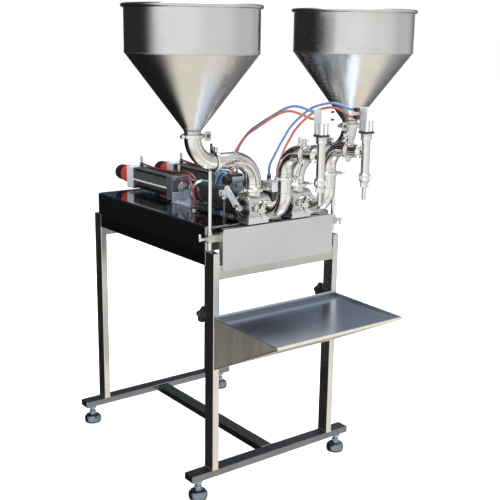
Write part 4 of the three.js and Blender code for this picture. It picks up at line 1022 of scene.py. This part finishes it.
# ---------- floor, surroundings and lights ----------
def make_floor():
    shape = bmesh.new()
    bmesh.ops.create_circle(shape, cap_ends=True, radius=30.0, segments=96)
    mesh = bpy.data.meshes.new("floor")
    shape.to_mesh(mesh)
    shape.free()
    g = Graph("floor")
    clouds = g.noise(1.2, 4.0)
    g.put(g.shader.inputs["Base Color"],
          g.mix(g.span(clouds, 0.0, 1.0), (0.86, 0.86, 0.86, 1), (0.82, 0.82, 0.82, 1)))
    g.shader.inputs["Roughness"].default_value = 0.9
    g.shader.inputs["Emission Color"].default_value = (1, 1, 1, 1)
    g.shader.inputs["Emission Strength"].default_value = 0.5
    mesh.materials.append(g.material)
    floor = bpy.data.objects.new("floor", mesh)
    bpy.context.scene.collection.objects.link(floor)
    floor.visible_glossy = False


def make_surroundings():
    """A plain white room to look at, and a studio of soft light and dark cards to reflect."""
    world = bpy.data.worlds.new("studio")
    bpy.context.scene.world = world
    world.use_nodes = True
    tree = world.node_tree
    background = tree.nodes["Background"]
    direction = tree.nodes.new("ShaderNodeTexCoord").outputs["Generated"]
    colour = (0.55, 0.55, 0.56, 1)
    # Each patch is (direction, where it starts, where it is full, colour), as cosines.
    patches = [
        ((0.9, 0.35, -0.2), 0.55, 0.95, (0.20, 0.20, 0.21, 1)),
        ((0.1, -0.2, 1.0), 0.6, 0.9, (1.0, 1.06, 1.15, 1)),
        ((0.78, -0.62, 0.05), 0.5, 0.9, (0.74, 0.76, 0.80, 1)),
        ((0.0, -1.0, 0.0), 0.6, 0.95, (0.98, 0.98, 0.98, 1)),
        ((-0.85, -0.52, 0.0), 0.6, 0.92, (1.15, 1.17, 1.18, 1)),
        ((0.03, -0.2, -0.98), 0.72, 0.92, (1.12, 1.05, 0.92, 1)),
        ((0.50, -0.72, -0.48), 0.955, 0.985, (1.35, 1.27, 1.13, 1)),
        ((-0.4, 0.85, -0.3), 0.5, 0.75, (0.015, 0.015, 0.016, 1)),
        ((-0.3, 0.8, 0.5), 0.70, 0.9, (0.03, 0.033, 0.036, 1)),
        ((0.40, 0.85, 0.33), 0.86, 0.98, (0.06, 0.085, 0.11, 1)),
    ]
    for aim, start, full, tint in patches:
        dot = add_node(tree, "ShaderNodeVectorMath", {0: direction, 1: Vector(aim).normalized()},
                       operation="DOT_PRODUCT").outputs["Value"]
        factor = add_node(tree, "ShaderNodeMapRange", {
            "Value": dot, "From Min": start, "From Max": full, "To Min": 0.0, "To Max": 1.0,
        }, interpolation_type="SMOOTHSTEP").outputs["Result"]
        mixed = add_node(tree, "ShaderNodeMix", {"Factor": factor}, data_type="RGBA")
        feed(tree, mixed.inputs[6], colour)
        feed(tree, mixed.inputs[7], tint)
        colour = mixed.outputs[2]
    seen = add_node(tree, "ShaderNodeLightPath").outputs["Is Camera Ray"]
    last = add_node(tree, "ShaderNodeMix", {"Factor": seen}, data_type="RGBA")
    feed(tree, last.inputs[6], colour)
    feed(tree, last.inputs[7], (1, 1, 1, 1))
    feed(tree, background.inputs["Color"], last.outputs[2])


def soft_light(name, at, target, size, power, tint, mirrored_in_metal=False):
    data = bpy.data.lights.new(name, "AREA")
    data.shape = "RECTANGLE"
    data.size, data.size_y = size
    data.energy = power
    data.color = tint
    light = bpy.data.objects.new(name, data)
    light.location = at
    light.visible_glossy = mirrored_in_metal
    light.rotation_mode = "QUATERNION"
    light.rotation_quaternion = (Vector(target) - Vector(at)).to_track_quat("-Z", "Y")
    bpy.context.scene.collection.objects.link(light)


bpy.context.scene.view_settings.view_transform = "Standard"
make_floor()
make_surroundings()
soft_light("key", (0.8, -3.6, 2.2), (0, 0, 0.9), (1.6, 1.2), 90, (1.0, 0.95, 0.87))
soft_light("side", (-3.4, -0.9, 1.5), (0, 0, 0.9), (0.8, 1.8), 60, (1.0, 0.98, 0.95))
soft_light("top", (0.3, 0.2, 4.2), (0, 0, 0.6), (2.4, 2.4), 110, (0.93, 0.97, 1.0), True)
soft_light("right", (3.4, 0.2, 2.2), (0, 0, 0.9), (1.4, 1.2), 50, (1.0, 1.0, 1.0))
soft_light("rear", (-0.6, 3.6, 2.4), (0, 0, 0.9), (1.6, 1.0), 50, (1.0, 1.0, 1.0))
